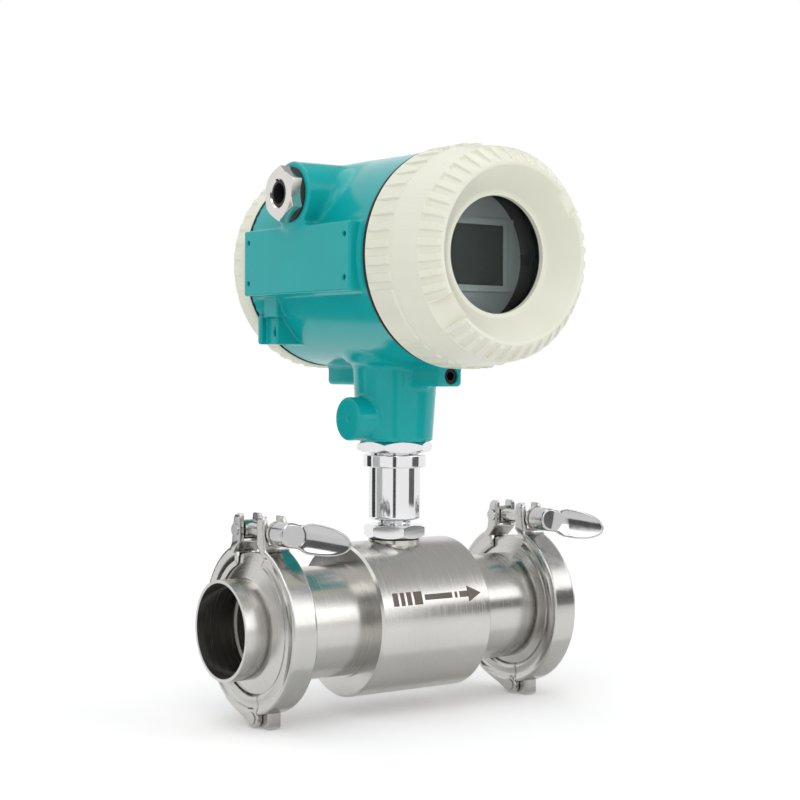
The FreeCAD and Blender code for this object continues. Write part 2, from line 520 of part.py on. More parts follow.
def make_clamp(place_name, along):
    """Two hinged halves, hinge pin, swing bolt on its pin, washer and wing nut."""
    tag = f"{place_name}_clamp"
    pin_across = ("bolt_y", "bolt_z")
    hinge_across = ("hinge_y", "hinge_z")

    # rear half: fixed ear, and two outer lugs that carry the hinge pin
    arm = plate(f"{tag}_rear_arm", "YZ_Plane", [
        ("hinge_y", "-groove_r + 1"), ("hinge_y", "hinge_z"),
        ("hinge_y + lug_r * sin(arm_lean_angle)", "hinge_z - lug_r * cos(arm_lean_angle)"),
        ("clamp_r * sin(arm_turn_angle)", "-clamp_r * cos(arm_turn_angle)"),
        ("clamp_r * sin(arm_turn_angle) - clamp_wall", "-groove_r + 1")], "clamp_half")
    blank = fuse(f"{tag}_rear_blank", clamp_ring(f"{tag}_rear_ring"), arm,
                 ear(f"{tag}_rear_ear", "", "(clamp_r + slot_sunk)", "rear_flare"))
    away = block(f"{tag}_rear_away", ("-clamp_half - 1", "-clamp_r - 1", "0"),
                 ("clamp_half + 1", "ear_inner", "ear_top + 1"))
    below = block(f"{tag}_rear_below", ("-clamp_half - 1", "-clamp_r - 1", "2 * hinge_z"),
                  ("clamp_half + 1", "seam_y + seam_gap / 2", "0.5"))
    whole = fuse(f"{tag}_rear_whole", cut(f"{tag}_rear_trimmed", blank, away, below),
                 cylinder(f"{tag}_rear_lugs", "x", "lug_r", "-clamp_half", "clamp_half",
                          hinge_across))
    slot = block(f"{tag}_rear_slot", ("-slot_half", "0", "slot_floor"),
                 ("slot_half", "clamp_r", "ear_top + 1"))
    knuckle_room = cylinder(f"{tag}_knuckle_room", "x", "lug_room_r",
                            "-knuckle_half - knuckle_gap / 2", "knuckle_half + knuckle_gap / 2",
                            hinge_across)
    tongue_top = "-groove_r - 0.4"
    tongue_way = block(f"{tag}_tongue_way",
                       ("-knuckle_half - knuckle_gap / 2", "hinge_y - 3 * lug_r", "2 * hinge_z"),
                       ("knuckle_half + knuckle_gap / 2", "hinge_y",
                        f"{tongue_top} + knuckle_gap"))
    bolt_hole = cylinder(f"{tag}_bolt_pin_hole", "x", "bolt_pin_r", "-clamp_half - 1",
                         "clamp_half + 1", pin_across)
    hinge_hole = cylinder(f"{tag}_hinge_hole", "x", "hinge_pin_r", "-clamp_half - 1",
                          "clamp_half + 1", hinge_across)
    node(f"{tag}_rear_half", cut(f"{tag}_rear_half", whole, flange_room(f"{tag}_rear_room"),
                                 ear_mouth(f"{tag}_rear_mouth", ""), slot, knuckle_room,
                                 tongue_way, bolt_hole, hinge_hole), along)

    # front half: swings on the hinge pin, with a knuckle between the rear half's lugs
    blank = fuse(f"{tag}_front_blank", clamp_ring(f"{tag}_front_ring"),
                 ear(f"{tag}_front_ear", "-", "(clamp_r - clamp_edge)", "front_flare"))
    away = block(f"{tag}_front_away", ("-clamp_half - 1", "-ear_inner", "0"),
                 ("clamp_half + 1", "clamp_r + 1", "ear_top + 1"))
    below = block(f"{tag}_front_below", ("-clamp_half - 1", "seam_y - seam_gap / 2",
                                         "2 * hinge_z"),
                  ("clamp_half + 1", "clamp_r + 1", "0.5"))
    whole = fuse(f"{tag}_front_whole", cut(f"{tag}_front_trimmed", blank, away, below),
                 cylinder(f"{tag}_knuckle", "x", "lug_r", "-knuckle_half", "knuckle_half",
                          hinge_across),
                 block(f"{tag}_tongue", ("-knuckle_half", "hinge_y - 2.2 * lug_r",
                                         "hinge_z - lug_r"),
                       ("knuckle_half", "hinge_y", tongue_top)))
    slot = block(f"{tag}_front_slot", ("-slot_half", "-clamp_r", "slot_floor"),
                 ("slot_half", "0", "ear_top + 1"))
    rooms = [cylinder(f"{tag}_lug_room_{way}", "x", "lug_room_r", low, high, hinge_across)
             for way, low, high in (("left", "-clamp_half - 1", "-knuckle_half"),
                                    ("right", "knuckle_half", "clamp_half + 1"))]
    turn_hole = cylinder(f"{tag}_turn_hole", "x", "hinge_pin_r + run_gap", "-clamp_half - 1",
                         "clamp_half + 1", hinge_across)
    node(f"{tag}_front_half", cut(f"{tag}_front_half", whole,
                                  flange_room(f"{tag}_front_room"),
                                  ear_mouth(f"{tag}_front_mouth", "-"), slot, *rooms,
                                  turn_hole), along)

    # pins with riveted heads
    for name, radius, across in (("hinge_pin", "hinge_pin_r", hinge_across),
                                 ("bolt_pin", "bolt_pin_r", pin_across)):
        rod = cylinder(f"{tag}_{name}_rod", "x", radius, "-clamp_half - pin_head",
                       "clamp_half + pin_head", across)
        heads = [cylinder(f"{tag}_{name}_{way}", "x", "pin_head_r", low, high, across)
                 for way, low, high in (("left", "-clamp_half - pin_head", "-clamp_half"),
                                        ("right", "clamp_half", "clamp_half + pin_head"))]
        node(f"{tag}_{name}", fuse(f"{tag}_{name}", rod, *heads), along)

    # swing bolt with its eye on the pin
    eye = cylinder(f"{tag}_eye", "x", "eye_r", "-eye_half", "eye_half", pin_across)
    shank = cylinder(f"{tag}_shank", "y", "bolt_r", "nut_end - bolt_past", "bolt_y",
                     ("0", "bolt_z"))
    eye_hole = cylinder(f"{tag}_eye_hole", "x", "bolt_pin_r + run_gap", "-eye_half - 1",
                        "eye_half + 1", pin_across)
    node(f"{tag}_eye_bolt", cut(f"{tag}_eye_bolt", fuse(f"{tag}_bolt_blank", eye, shank),
                                eye_hole), along)

    # washer and one-winged nut, drawn about the bolt's own axis
    hole = "bolt_r + thread_gap"
    washer = turned(f"{tag}_washer", "y", [("washer_y", hole), ("washer_y", "washer_r"),
                                           ("nut_y", "washer_r"), ("nut_y", hole)])
    node(f"{tag}_washer", washer, along, "bolt_z")
    node(f"{tag}_wing_nut", make_wing_nut(tag), along, "bolt_z")


def make_wing_nut(tag):
    """A round hub with one long spoon-shaped wing that sweeps out and forward."""
    hub = turned(f"{tag}_nut_hub", "y", [
        ("nut_y", "0"), ("nut_y", "nut_r"), ("nut_end + nut_bevel", "nut_r"),
        ("nut_end", "nut_r - nut_bevel"),
        ("nut_end", "0")])
    stations = ((0.0, "wing_neck", "wing_neck"), (0.3, "wing_half * 0.62", "wing_thick * 1.1"),
                (0.62, "wing_half", "wing_thick"), (0.88, "wing_half * 0.8", "wing_thick * 0.9"),
                (1.0, "wing_half * 0.3", "wing_thick * 0.6"))
    sections = []
    for index, (share, wide, thick) in enumerate(stations):
        oval = doc.addObject("Part::Ellipse", f"{tag}_wing_section_{index}")
        major, minor = (wide, thick) if value(wide) > value(thick) else (f"{wide} + 0.01", thick)
        bind(oval, MajorRadius=major, MinorRadius=minor)
        sections.append(place(oval, (f"{share} * wing_long", "0", "0"), AXIS_TURN["x"]))
    wing = doc.addObject("Part::Loft", f"{tag}_wing")
    wing.Sections = sections
    wing.Solid = True
    sweep = FreeCAD.Rotation(FreeCAD.Vector(0, 0, 1), -value("wing_sweep_angle"))
    place(wing, ("0", "(nut_y + nut_end) / 2", "0"), sweep)
    bore = cylinder(f"{tag}_nut_bore", "y", "bolt_r + thread_gap", "nut_end - wing_long",
                    "nut_y + 1")
    nut = cut(f"{tag}_wing_nut", fuse(f"{tag}_nut_blank", hub, wing), bore)
    droop = FreeCAD.Rotation(FreeCAD.Vector(0, 1, 0), value("wing_droop_angle"))
    nut.Placement = FreeCAD.Placement(FreeCAD.Vector(), droop)
    return nut


# --------------------------------------------------------------------------- neck stack
def make_neck_stack():
    """Pick-off barrel screwed into the meter body, and the stem that carries the housing."""
    node("seal_washer", turned("seal_washer", "z", [
        ("boss_top", "pocket_r"), ("boss_top", "seal_r"), ("seal_top", "seal_r"),
        ("seal_top", "pocket_r")]))
    lock = hexagon("lock_nut_hex", "z", "lock_nut_flats", "seal_top", "lock_nut_top", turn=12)
    lock_bore = cylinder("lock_nut_bore", "z", "pocket_r", "seal_top - 1", "lock_nut_top + 1")
    node("lock_nut", cut("lock_nut", lock, lock_bore))
    foot = "barrel_top - stem_foot_long"
    node("sensor_barrel", turned("sensor_barrel", "z", [
        ("pocket_floor + seat_gap", "0"), ("pocket_floor + seat_gap", "thread_r"),
        ("barrel_low", "thread_r"), ("barrel_low", "barrel_r"), ("barrel_top", "barrel_r"),
        ("barrel_top", "stem_foot_r + thread_gap"), (f"{foot} - 1", "stem_foot_r + thread_gap"),
        (f"{foot} - 1", "coil_room_r"), ("coil_floor", "coil_room_r"), ("coil_floor", "0")]))
    node("sensor_magnet", cylinder("sensor_magnet", "z", "magnet_r", "coil_floor",
                                   "coil_floor + magnet_long"))
    node("sensor_coil", turned("sensor_coil", "z", [
        ("coil_floor", "magnet_r + seat_gap"), ("coil_floor", "coil_r"),
        ("coil_floor + coil_long", "coil_r"), ("coil_floor + coil_long", "magnet_r + seat_gap")]))
    node("neck_stem", turned("neck_stem", "z", [
        (foot, "stem_bore_r"), (foot, "stem_foot_r"), ("barrel_top", "stem_foot_r"),
        ("barrel_top", "collar_r"), ("collar_top", "collar_r"), ("collar_top", "stem_r"),
        ("stem_top", "stem_r"), ("stem_top", "stem_bore_r")]))
    jam = hexagon("neck_nut_hex", "z", "neck_nut_flats", "neck_nut_low", "neck_low", turn=-21)
    jam_bore = cylinder("neck_nut_bore", "z", "stem_r + thread_gap", "neck_nut_low - 1",
                        "neck_low + 1")
    node("neck_nut", cut("neck_nut", jam, jam_bore))


# --------------------------------------------------------------------------- housing
def make_housing():
    """Housing on its neck, with lugs, cable entries and pads, and the plate that parts it."""
    drum = turned("housing_drum", "y", [
        ("front_spigot_end", "0"), ("front_spigot_end", "spigot_r"), ("head_front", "spigot_r"),
        ("head_front", "head_r"), ("head_rear", "head_r"), ("head_rear", "spigot_r"),
        ("rear_spigot_end", "spigot_r"), ("rear_spigot_end", "0")])
    place(drum, ("0", "0", "head_z"))
    neck = doc.addObject("Part::Cone", "housing_neck")
    bind(neck, Radius1="neck_r", Radius2="neck_top_r", Height="head_root - neck_low")
    place(neck, ("0", "0", "neck_low"))
    neck_boss = cylinder("neck_boss", "x", "neck_boss_r", "-neck_boss_face", "0",
                         ("0", "neck_boss_z"))
    front_lug = block("front_lug", ("-lug_half", "head_front", "lug_low"),
                      ("lug_half", "0", "head_root"))
    rear_lug = block("rear_lug", ("-lug_half", "0", "lug_low"),
                     ("lug_half", "rear_lug_end", "head_root"))
    pad = block("plate_pad", ("-pad_face", "pad_front", "pad_low"),
                ("-head_r * 0.8", "pad_rear", "pad_top"))
    ground = block("ground_pad", ("-ground_face", "ground_front", "ground_low"),
                   ("-head_r * 0.5", "ground_rear", "ground_top"))
    riser = block("ground_riser", ("-riser_face", "riser_front", "ground_top - ground_lip"),
                  ("-head_r * 0.5", "riser_front + riser_wide", "pad_low + ground_lip"))
    entries = [cylinder(f"entry_{way}", "x", "entry_r", low, high, ("entry_y", "entry_z"))
               for way, low, high in (("left", "-entry_face", "0"), ("right", "0", "entry_face"))]
    blank = fuse("housing_blank", drum, neck, neck_boss, front_lug, rear_lug, pad, ground,
                 riser, *entries)

    chambers = [cylinder("front_chamber", "y", "front_cavity_r", "front_spigot_end - 1",
                         "web_front + 1", ("0", "head_z")),
                cylinder("rear_chamber", "y", "cavity_r", "web_front", "rear_spigot_end + 1",
                         ("0", "head_z"))]
    stem_bore = cylinder("stem_room", "z", "stem_r + thread_gap", "neck_low - 1",
                         "stem_top + seat_gap")
    wire_way = cylinder("wire_way", "z", "stem_bore_r", "stem_top - 1", "head_root",
                        ("0", "-stem_bore_r"))
    entry_holes = [cylinder(f"entry_hole_{way}", "x", "entry_hole_r", low, high,
                            ("entry_y", "entry_z"))
                   for way, low, high in (
                       ("left", "-entry_face - 1", "-entry_face + entry_deep"),
                       ("right", "entry_face - entry_deep", "entry_face + 1"))]
    dimple = cylinder("neck_dimple", "x", "dimple_r", "-neck_boss_face - 1",
                      "-neck_boss_face + dimple_r", ("0", "neck_boss_z"))
    lock_holes = [cylinder("front_lock_hole", "y", "lock_hole_r", "head_front - 1",
                           "head_front + lock_sunk + lock_long", ("0", "lock_z")),
                  cylinder("rear_lock_hole", "y", "lock_hole_r",
                           "rear_lug_end - lock_sunk - lock_long", "rear_lug_end + 1",
                           ("0", "lock_z"))]
    plate_holes = [cylinder(f"plate_hole_{i}{j}", "x", "plate_hole_r", "-pad_face - 1",
                            "-pad_face + plate_hole_deep",
                            (f"plate_y + {i} * plate_pitch_y / 2",
                             f"plate_z + {j} * plate_pitch_z / 2"))
                   for i in (-1, 1) for j in (-1, 1)]
    recess = block("ground_recess", ("-ground_face - 1", "ground_front + ground_lip",
                                     "ground_low - 1"),
                   ("-ground_face + ground_recess", "ground_rear - 2 * ground_lip",
                    "ground_top - ground_lip"))
    ground_hole = cylinder("ground_hole", "x", "ground_hole_r", "-ground_face",
                           "-ground_face + ground_recess + ground_hole_deep",
                           ("ground_hole_y", "ground_hole_z"))
    node("housing", cut("housing", blank, *chambers, stem_bore, wire_way, *entry_holes, dimple,
                        *lock_holes, *plate_holes, recess, ground_hole))

    disc = cylinder("partition_disc", "y", "cavity_r - seat_gap", "web_front", "web_rear",
                    ("0", "head_z"))
    web_way = cylinder("web_way", "y", "stem_bore_r", "web_front - 1", "web_rear + 1",
                       ("0", "head_z + head_r / 2"))
    node("partition", cut("partition", disc, web_way))

    screws = []
    for way, low in (("front", "head_front + lock_sunk"),
                     ("rear", "rear_lug_end - lock_sunk - lock_long")):
        rod = cylinder(f"{way}_lock_rod", "y", "lock_hole_r - thread_gap", low,
                       f"{low} + lock_long", ("0", "lock_z"))
        key_low = low if way == "front" else f"{low} + lock_long - lock_hole_r"
        key = hexagon(f"{way}_lock_key", "y", "lock_hole_r", f"{key_low} - 0.01",
                      f"{key_low} + lock_hole_r + 0.01", ("0", "lock_z"))
        screws.append(cut(f"{way}_lock_screw", rod, key))
    node("lock_screws", group("lock_screws", screws))


# --------------------------------------------------------------------------- cable entries
def make_cable_entries():
    """Cable gland with its seal on the left side, blanking plug on the right side."""
    across = ("entry_y", "entry_z")
    for name, low, high in (("gland_washer", "-gland_face", "-entry_face"),
                            ("plug_washer", "entry_face", "gland_face")):
        disc = cylinder(f"{name}_disc", "x", "entry_washer_r", low, high, across)
        hole = cylinder(f"{name}_hole", "x", "entry_hole_r", f"{low} - 1", f"{high} + 1", across)
        node(name, cut(name, disc, hole))
    head = hexagon("gland_hex", "x", "gland_flats", "-gland_face - gland_high", "-gland_face",
                   across)
    thread = cylinder("gland_thread", "x", "entry_thread_r", "-gland_face - 1",
                      "-gland_face + gland_long", across)
    bore = cylinder("gland_bore", "x", "gland_bore_r", "-gland_face - gland_high - 1",
                    "-gland_face + gland_long + 1", across)
    node("gland_body", cut("gland_body", fuse("gland_blank", head, thread), bore))
    insert = cylinder("gland_insert", "x", "gland_bore_r - seat_gap / 2",
                      "-gland_face - gland_high + gland_seal_back", "-gland_face + gland_long",
                      across)
    cable_hole = cylinder("gland_cable_hole", "x", "gland_seal_r", "-gland_face - gland_high - 1",
                          "-gland_face + gland_long + 1", across)
    node("gland_seal", cut("gland_seal", insert, cable_hole))

    cap = cylinder("plug_cap", "x", "plug_r", "gland_face", "gland_face + plug_high", across)
    screw = cylinder("plug_thread", "x", "entry_thread_r", "gland_face - gland_long",
                     "gland_face + 1", across)
    key = hexagon("plug_key", "x", "plug_key_flats", "gland_face + plug_high - plug_key_deep",
                  "gland_face + plug_high + 1", across)
    node("blanking_plug", cut("blanking_plug", fuse("plug_blank", cap, screw), key))


# --------------------------------------------------------------------------- covers
def make_front_cover():
    """Screwed front cover with its wrench notches, window glass, gasket, ring and O-ring."""
    shell = turned("front_shell", "y", [
        ("cover_start", "o_ring_room"), ("cover_start", "cover_r"), ("band_end", "cover_r"),
        ("band_end - 1", "cover_r - 0.6"), ("cone_end_y", "cone_end_r"),
        ("cone_end_y - shoulder", "cone_end_r - shoulder * 0.25"),
        ("crest_y + shoulder * 0.4", "crest_r + shoulder"), ("crest_y", "crest_r + crest_flat"),
        ("crest_y", "crest_r - crest_flat"), ("dish_y", "dish_r"), ("window_y", "dish_r - 1"),
        ("window_y", "window_r"), ("cover_lip_y", "window_r"), ("cover_lip_y", "glass_room_r"),
        ("ring_room_y", "glass_room_r"), ("ring_room_y", "cover_bore_r"),
        ("cover_start - o_ring_room_long", "cover_bore_r"),
        ("cover_start - o_ring_room_long", "o_ring_room")])
    bar = block("notch_bar", ("-crest_r * 1.5", "crest_y - 1", "-notch_wide / 2"),
                ("crest_r * 1.5", "crest_y + notch_deep", "notch_wide / 2"))
    tilt = FreeCAD.Rotation(FreeCAD.Vector(0, 1, 0), -value("notch_turn"))
    turned_bar = doc.addObject("Part::Compound", "notch_turned")
    turned_bar.Links = [bar]
    turned_bar.Placement = FreeCAD.Placement(FreeCAD.Vector(), tilt)
    node("front_cover", cut("front_cover", shell, turned_bar), up="head_z")

    node("window_gasket", turned("window_gasket", "y", [
        ("cover_lip_y", "window_r + 0.4"), ("cover_lip_y", "glass_r"), ("glass_front", "glass_r"),
        ("glass_front", "window_r + 0.4")]), up="head_z")
    node("window_glass", turned("window_glass", "y", [
        ("glass_front", "0"), ("glass_front", "glass_r"), ("glass_back", "glass_r"),
        ("glass_back", "0")]), up="head_z")
    ring_outer = "glass_room_r - seat_gap"
    node("window_ring", turned("window_ring", "y", [
        ("glass_back", "glass_ring_r"), ("glass_back", "glass_r + seat_gap"),
        ("cover_lip_y", "glass_r + seat_gap"), ("cover_lip_y", ring_outer),
        ("glass_back + glass_ring_thick", ring_outer),
        ("glass_back + glass_ring_thick", "glass_ring_r")]), up="head_z")


def make_rear_cover():
    """Plain screwed rear cover."""
    node("rear_cover", turned("rear_cover", "y", [
        ("rear_start", "o_ring_room"), ("rear_start", "cover_r"),
        ("rear_end - rear_cover_round", "cover_r"),
        ("rear_end - rear_cover_round * 0.3", "cover_r - rear_cover_round * 0.3"),
        ("rear_end", "cover_r - rear_cover_round"), ("rear_end", "0"),
        ("rear_end - rear_cover_wall", "0"), ("rear_end - rear_cover_wall", "cover_bore_r"),
        ("rear_start + o_ring_room_long", "cover_bore_r"),
        ("rear_start + o_ring_room_long", "o_ring_room")]), up="head_z")


def make_o_rings():
    """O-rings between the covers and the housing's end faces."""
    for name, middle in (("front_o_ring", "head_front - seat_gap - o_ring_thick_r"),
                         ("rear_o_ring", "head_rear + seat_gap + o_ring_thick_r")):
        ring = doc.addObject("Part::Torus", name)
        bind(ring, Radius1="o_ring_r", Radius2="o_ring_thick_r")
        place(ring, ("0", middle, "0"), AXIS_TURN["y"])
        node(name, ring, up="head_z")


# --------------------------------------------------------------------------- display, boards
def screw_spot(index):
    """Place of one of the display's screws, around the head's axis."""
    angle = f"({index} * 360 / screw_count)"
    return (f"screw_circle * cos{angle}", f"head_z + screw_circle * sin{angle}")


def make_display():
    """Display carrier on its standoffs, with bezel, panel, screws and the board behind."""
    spots = [screw_spot(index) for index in range(int(value("screw_count")))]

    disc = cylinder("carrier_disc", "y", "carrier_r", "carrier_front", "carrier_y",
                    ("0", "head_z"))
    holes = [cylinder(f"carrier_hole_{i}", "y", "screw_r + screw_gap", "carrier_front - 1",
                      "carrier_y + 1", spot) for i, spot in enumerate(spots)]
    node("display_carrier", cut("display_carrier", disc, *holes))

    base = cylinder("bezel_disc", "y", "bezel_r", "bezel_front", "carrier_front", ("0", "head_z"))
    frame = block("bezel_frame", ("-frame_half_x", "frame_front", "lcd_z - frame_half_z"),
                  ("frame_half_x", "carrier_front", "lcd_z + frame_half_z"))
    window = block("bezel_window", ("-lcd_half_x - seat_gap", "frame_front - 1",
                                    "lcd_z - lcd_half_z - seat_gap"),
                   ("lcd_half_x + seat_gap", "carrier_front + 1", "lcd_z + lcd_half_z + seat_gap"))
    node("display_bezel", cut("display_bezel", fuse("bezel_blank", base, frame), window))
    node("display_lcd", block("display_lcd", ("-lcd_half_x", "frame_front + lcd_sunk",
                                              "lcd_z - lcd_half_z"),
                              ("lcd_half_x", "carrier_front", "lcd_z + lcd_half_z")))

    screws = []
    posts = []
    for i, spot in enumerate(spots):
        head = cylinder(f"screw_head_{i}", "y", "screw_head_r", "carrier_front - screw_head_high",
                        "carrier_front", spot)
        rod = cylinder(f"screw_rod_{i}", "y", "screw_r", "carrier_front - 0.5",
                       "carrier_front + screw_long", spot)
        screws.append(fuse(f"display_screw_{i}", head, rod))
        front_post = cylinder(f"front_post_{i}", "y", "standoff_r", "carrier_y", "board_front",
                              spot)
        tapped = cylinder(f"front_post_hole_{i}", "y", "screw_r + screw_gap / 2", "carrier_y - 1",
                          "carrier_front + screw_long + 1", spot)
        posts.append(cut(f"front_standoff_{i}", front_post, tapped))
        posts.append(cylinder(f"rear_standoff_{i}", "y", "standoff_r", "board_y", "web_front",
                              spot))
    node("display_screws", group("display_screws", screws))
    node("board_standoffs", group("board_standoffs", posts))

    board = cylinder("board_disc", "y", "board_r", "board_front", "board_y", ("0", "head_z"))
    chips = [block(f"board_chip_{i}",
                   (f"{x} * chip_unit", "board_y - seat_gap", f"head_z + {z} * chip_unit"),
                   (f"{x + wide} * chip_unit", f"board_y + {tall} * chip_unit",
                    f"head_z + {z + high} * chip_unit"))
             for i, (x, z, wide, high, tall) in enumerate((
                 (-8, -6, 14, 14, 2), (12, 4, 8, 6, 2.5), (-24, 8, 6, 12, 8), (10, -20, 12, 8, 6)))]
    node("amplifier_board", fuse("amplifier_board", board, *chips))


def make_terminals():
    """Terminal block on the rear face of the housing's web, with its clamp screws."""
    screw_z = "terminal_low + terminal_high * 0.65"
    bar = block("terminal_bar", ("-terminal_half", "web_rear", "terminal_low"),
                ("terminal_half", "web_rear + terminal_deep", "terminal_low + terminal_high"))
    holes = []
    screws = []
    for i in range(int(value("terminal_count"))):
        spot = (f"({i} - (terminal_count - 1) / 2) * terminal_pitch", screw_z)
        face = "web_rear + terminal_deep"
        holes.append(cylinder(f"terminal_hole_{i}", "y", "terminal_screw_r + seat_gap",
                              f"{face} - terminal_screw_deep", f"{face} + 1", spot))
        wire = (spot[0], "terminal_low + terminal_high * 0.22")
        holes.append(cylinder(f"terminal_wire_{i}", "y", "terminal_screw_r * 0.7",
                              f"{face} - terminal_screw_deep", f"{face} + 1", wire))
        screws.append(cylinder(f"terminal_screw_{i}", "y", "terminal_screw_r",
                               f"{face} - terminal_screw_deep", f"{face} - 0.5", spot))
    node("terminal_block", cut("terminal_block", bar, *holes))
    node("terminal_screws", group("terminal_screws", screws))


# --------------------------------------------------------------------------- build and write
def check_document():
    """Stop when any feature failed or any piece has no valid solid."""
    failed = [item.Name for item in doc.Objects
              if "Invalid" in item.State or "Error" in item.State]
    broken = [item.Label for item in NODES
              if item.Shape.isNull() or not item.Shape.isValid() or not item.Shape.Solids]
    if failed or broken:
        raise RuntimeError(f"failed features {failed}, broken pieces {broken}")


def write_steps():
    os.makedirs("parts", exist_ok=True)
    for item in NODES:
        item.Shape.exportStep(f"parts/{item.Label}.step")


fill_sheet()
make_ferrules()
make_gaskets()
make_meter_body()
make_flow_guides()
make_rotor()
make_clamp("inlet", "mid - joint_half")
make_clamp("outlet", "mid + joint_half")
make_neck_stack()
make_housing()
make_cable_entries()
make_front_cover()
make_rear_cover()
make_o_rings()
make_display()
make_terminals()
doc.recompute()
check_document()
write_steps()
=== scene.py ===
"""Looks for the turbine flow meter: surfaces, finishes, studio and camera around the CAD frame.

Shapes are worked out in millimetres, in the frame of the CAD part, and become meshes in metres.
Two kinds of surface are made: grids (a function of two parameters, closed into a shell) and cast
bodies (the zero level of a signed distance, meshed on a grid of cells).
"""
import math
import bpy
import numpy as np
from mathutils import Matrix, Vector


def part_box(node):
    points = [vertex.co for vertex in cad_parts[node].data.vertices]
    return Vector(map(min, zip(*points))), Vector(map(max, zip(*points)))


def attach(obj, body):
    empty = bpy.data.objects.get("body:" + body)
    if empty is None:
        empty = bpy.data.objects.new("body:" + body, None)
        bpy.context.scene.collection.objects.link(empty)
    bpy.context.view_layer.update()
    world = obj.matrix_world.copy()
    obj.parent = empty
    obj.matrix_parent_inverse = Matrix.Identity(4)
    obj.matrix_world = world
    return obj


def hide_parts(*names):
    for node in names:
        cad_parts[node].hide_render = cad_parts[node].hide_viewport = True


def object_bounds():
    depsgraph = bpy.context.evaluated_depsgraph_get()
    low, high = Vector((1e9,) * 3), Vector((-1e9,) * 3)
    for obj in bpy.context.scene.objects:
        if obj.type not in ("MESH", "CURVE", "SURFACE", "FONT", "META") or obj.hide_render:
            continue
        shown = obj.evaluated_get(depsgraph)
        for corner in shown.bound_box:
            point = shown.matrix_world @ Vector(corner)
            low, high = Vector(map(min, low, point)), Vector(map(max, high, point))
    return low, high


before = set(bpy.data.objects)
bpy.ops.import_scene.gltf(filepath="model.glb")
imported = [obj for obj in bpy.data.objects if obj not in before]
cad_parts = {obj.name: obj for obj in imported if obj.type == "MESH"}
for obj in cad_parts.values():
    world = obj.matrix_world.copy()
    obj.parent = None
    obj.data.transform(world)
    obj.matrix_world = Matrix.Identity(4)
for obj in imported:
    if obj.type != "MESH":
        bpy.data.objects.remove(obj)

cad_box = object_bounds()
MM = 0.001


def box_of(node):
    """Lowest and highest corner of a CAD node, in millimetres."""
    low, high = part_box(node)
    return np.array(low) / MM, np.array(high) / MM


# ------------------------------------ places read from the frame
BARREL_LOW, BARREL_HIGH = box_of("sensor_barrel")
COVER_LOW, COVER_HIGH = box_of("front_cover")
BODY_LOW, BODY_HIGH = box_of("meter_body")
MID_X = (BODY_LOW[0] + BODY_HIGH[0]) / 2
HEAD_Z = (COVER_LOW[2] + COVER_HIGH[2]) / 2
NECK_AXIS = (MID_X, 0, 0)
HEAD_AXIS = (MID_X, 0, HEAD_Z)
ENTRY_Y, ENTRY_Z = 5.5, 184.6  # axis of the two cable entries, along X
BOSS_Z = 87.8  # axis of the round bosses on the neck, along X


# ------------------------------------ mesh helpers
def make_piece(name, points, faces, look, sharp=None, normals=None):
    """Put points (millimetres) and faces into a mesh object that rides on a CAD body.

    look is the material, the body, the nodes it stands in for and a material slot name, which is
    not used.
    """
    material, body, replaced, slot = look
    mesh = bpy.data.meshes.new(name)
    mesh.from_pydata((np.asarray(points) * MM).tolist(), [], faces.tolist())
    mesh.update()
    mesh.polygons.foreach_set("use_smooth", np.ones(len(mesh.polygons), bool))
    if sharp is not None:
        mesh.set_sharp_from_angle(angle=math.radians(sharp))
    if normals is not None:
        mesh.normals_split_custom_set_from_vertices(normals.tolist())
    piece = bpy.data.objects.new(name, mesh)
    bpy.context.scene.collection.objects.link(piece)
    mesh.materials.append(material)
    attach(piece, body)
    if replaced:
        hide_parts(*replaced)
    return piece


def grid_faces(rows, columns):
    """Quads of a grid, numbered row by row, that closes on itself both ways."""
    i, j = np.arange(rows)[:, None], np.arange(columns)[None, :]
    i2, j2 = (i + 1) % rows, (j + 1) % columns
    quads = [i * columns + j, i * columns + j2, i2 * columns + j2, i2 * columns + j]
    return np.stack(np.broadcast_arrays(*quads), -1).reshape(-1, 4)


def rounded(corners, steps=4):
    """Profile through (a, b, radius) corners, each turned into an arc of its radius.

    At each corner the arc starts and ends radius / tan(half the inner angle) from the corner,
    limited to just under half of the shorter neighbouring side, and bends at a constant rate.
    """
    spots = np.array([c[:2] for c in corners], float)
    count = len(spots)
    path = []
    for i, corner in enumerate(corners):
        radius = corner[2] if len(corner) > 2 else 0
        here, before, after = spots[i], spots[i - 1], spots[(i + 1) % count]
        to_before, to_after = before - here, after - here
        reach_before, reach_after = np.linalg.norm(to_before), np.linalg.norm(to_after)
        to_before, to_after = to_before / reach_before, to_after / reach_after
        inner = math.acos(float(np.clip(to_before @ to_after, -1, 1)))
        if radius <= 0 or inner > math.pi - 0.02:
            path.append(here)
            continue
        back = min(radius / math.tan(inner / 2), 0.48 * reach_before, 0.48 * reach_after)
        radius = back * math.tan(inner / 2)
        middle = to_before + to_after
        centre = here + middle / np.linalg.norm(middle) * (radius / math.sin(inner / 2))
        start, end = here + to_before * back - centre, here + to_after * back - centre
        sweep = math.pi - inner
        share = np.linspace(0, 1, steps + 1)[:, None]
        path.extend(centre + (np.sin((1 - share) * sweep) * start + np.sin(share * sweep) * end)
                    / math.sin(sweep))
    return np.array(path)


def denser(profile, step, low=-1e9, high=1e9):
    """The closed profile with its long sides split, between two places along the axis."""
    path = []
    for here, after in zip(profile, np.roll(profile, -1, axis=0)):
        parts = max(1, int(np.linalg.norm(after - here) / step))
        if not low <= (here[0] + after[0]) / 2 <= high:
            parts = 1
        path.extend(here + (after - here) * k / parts for k in range(parts))
    return np.array(path)


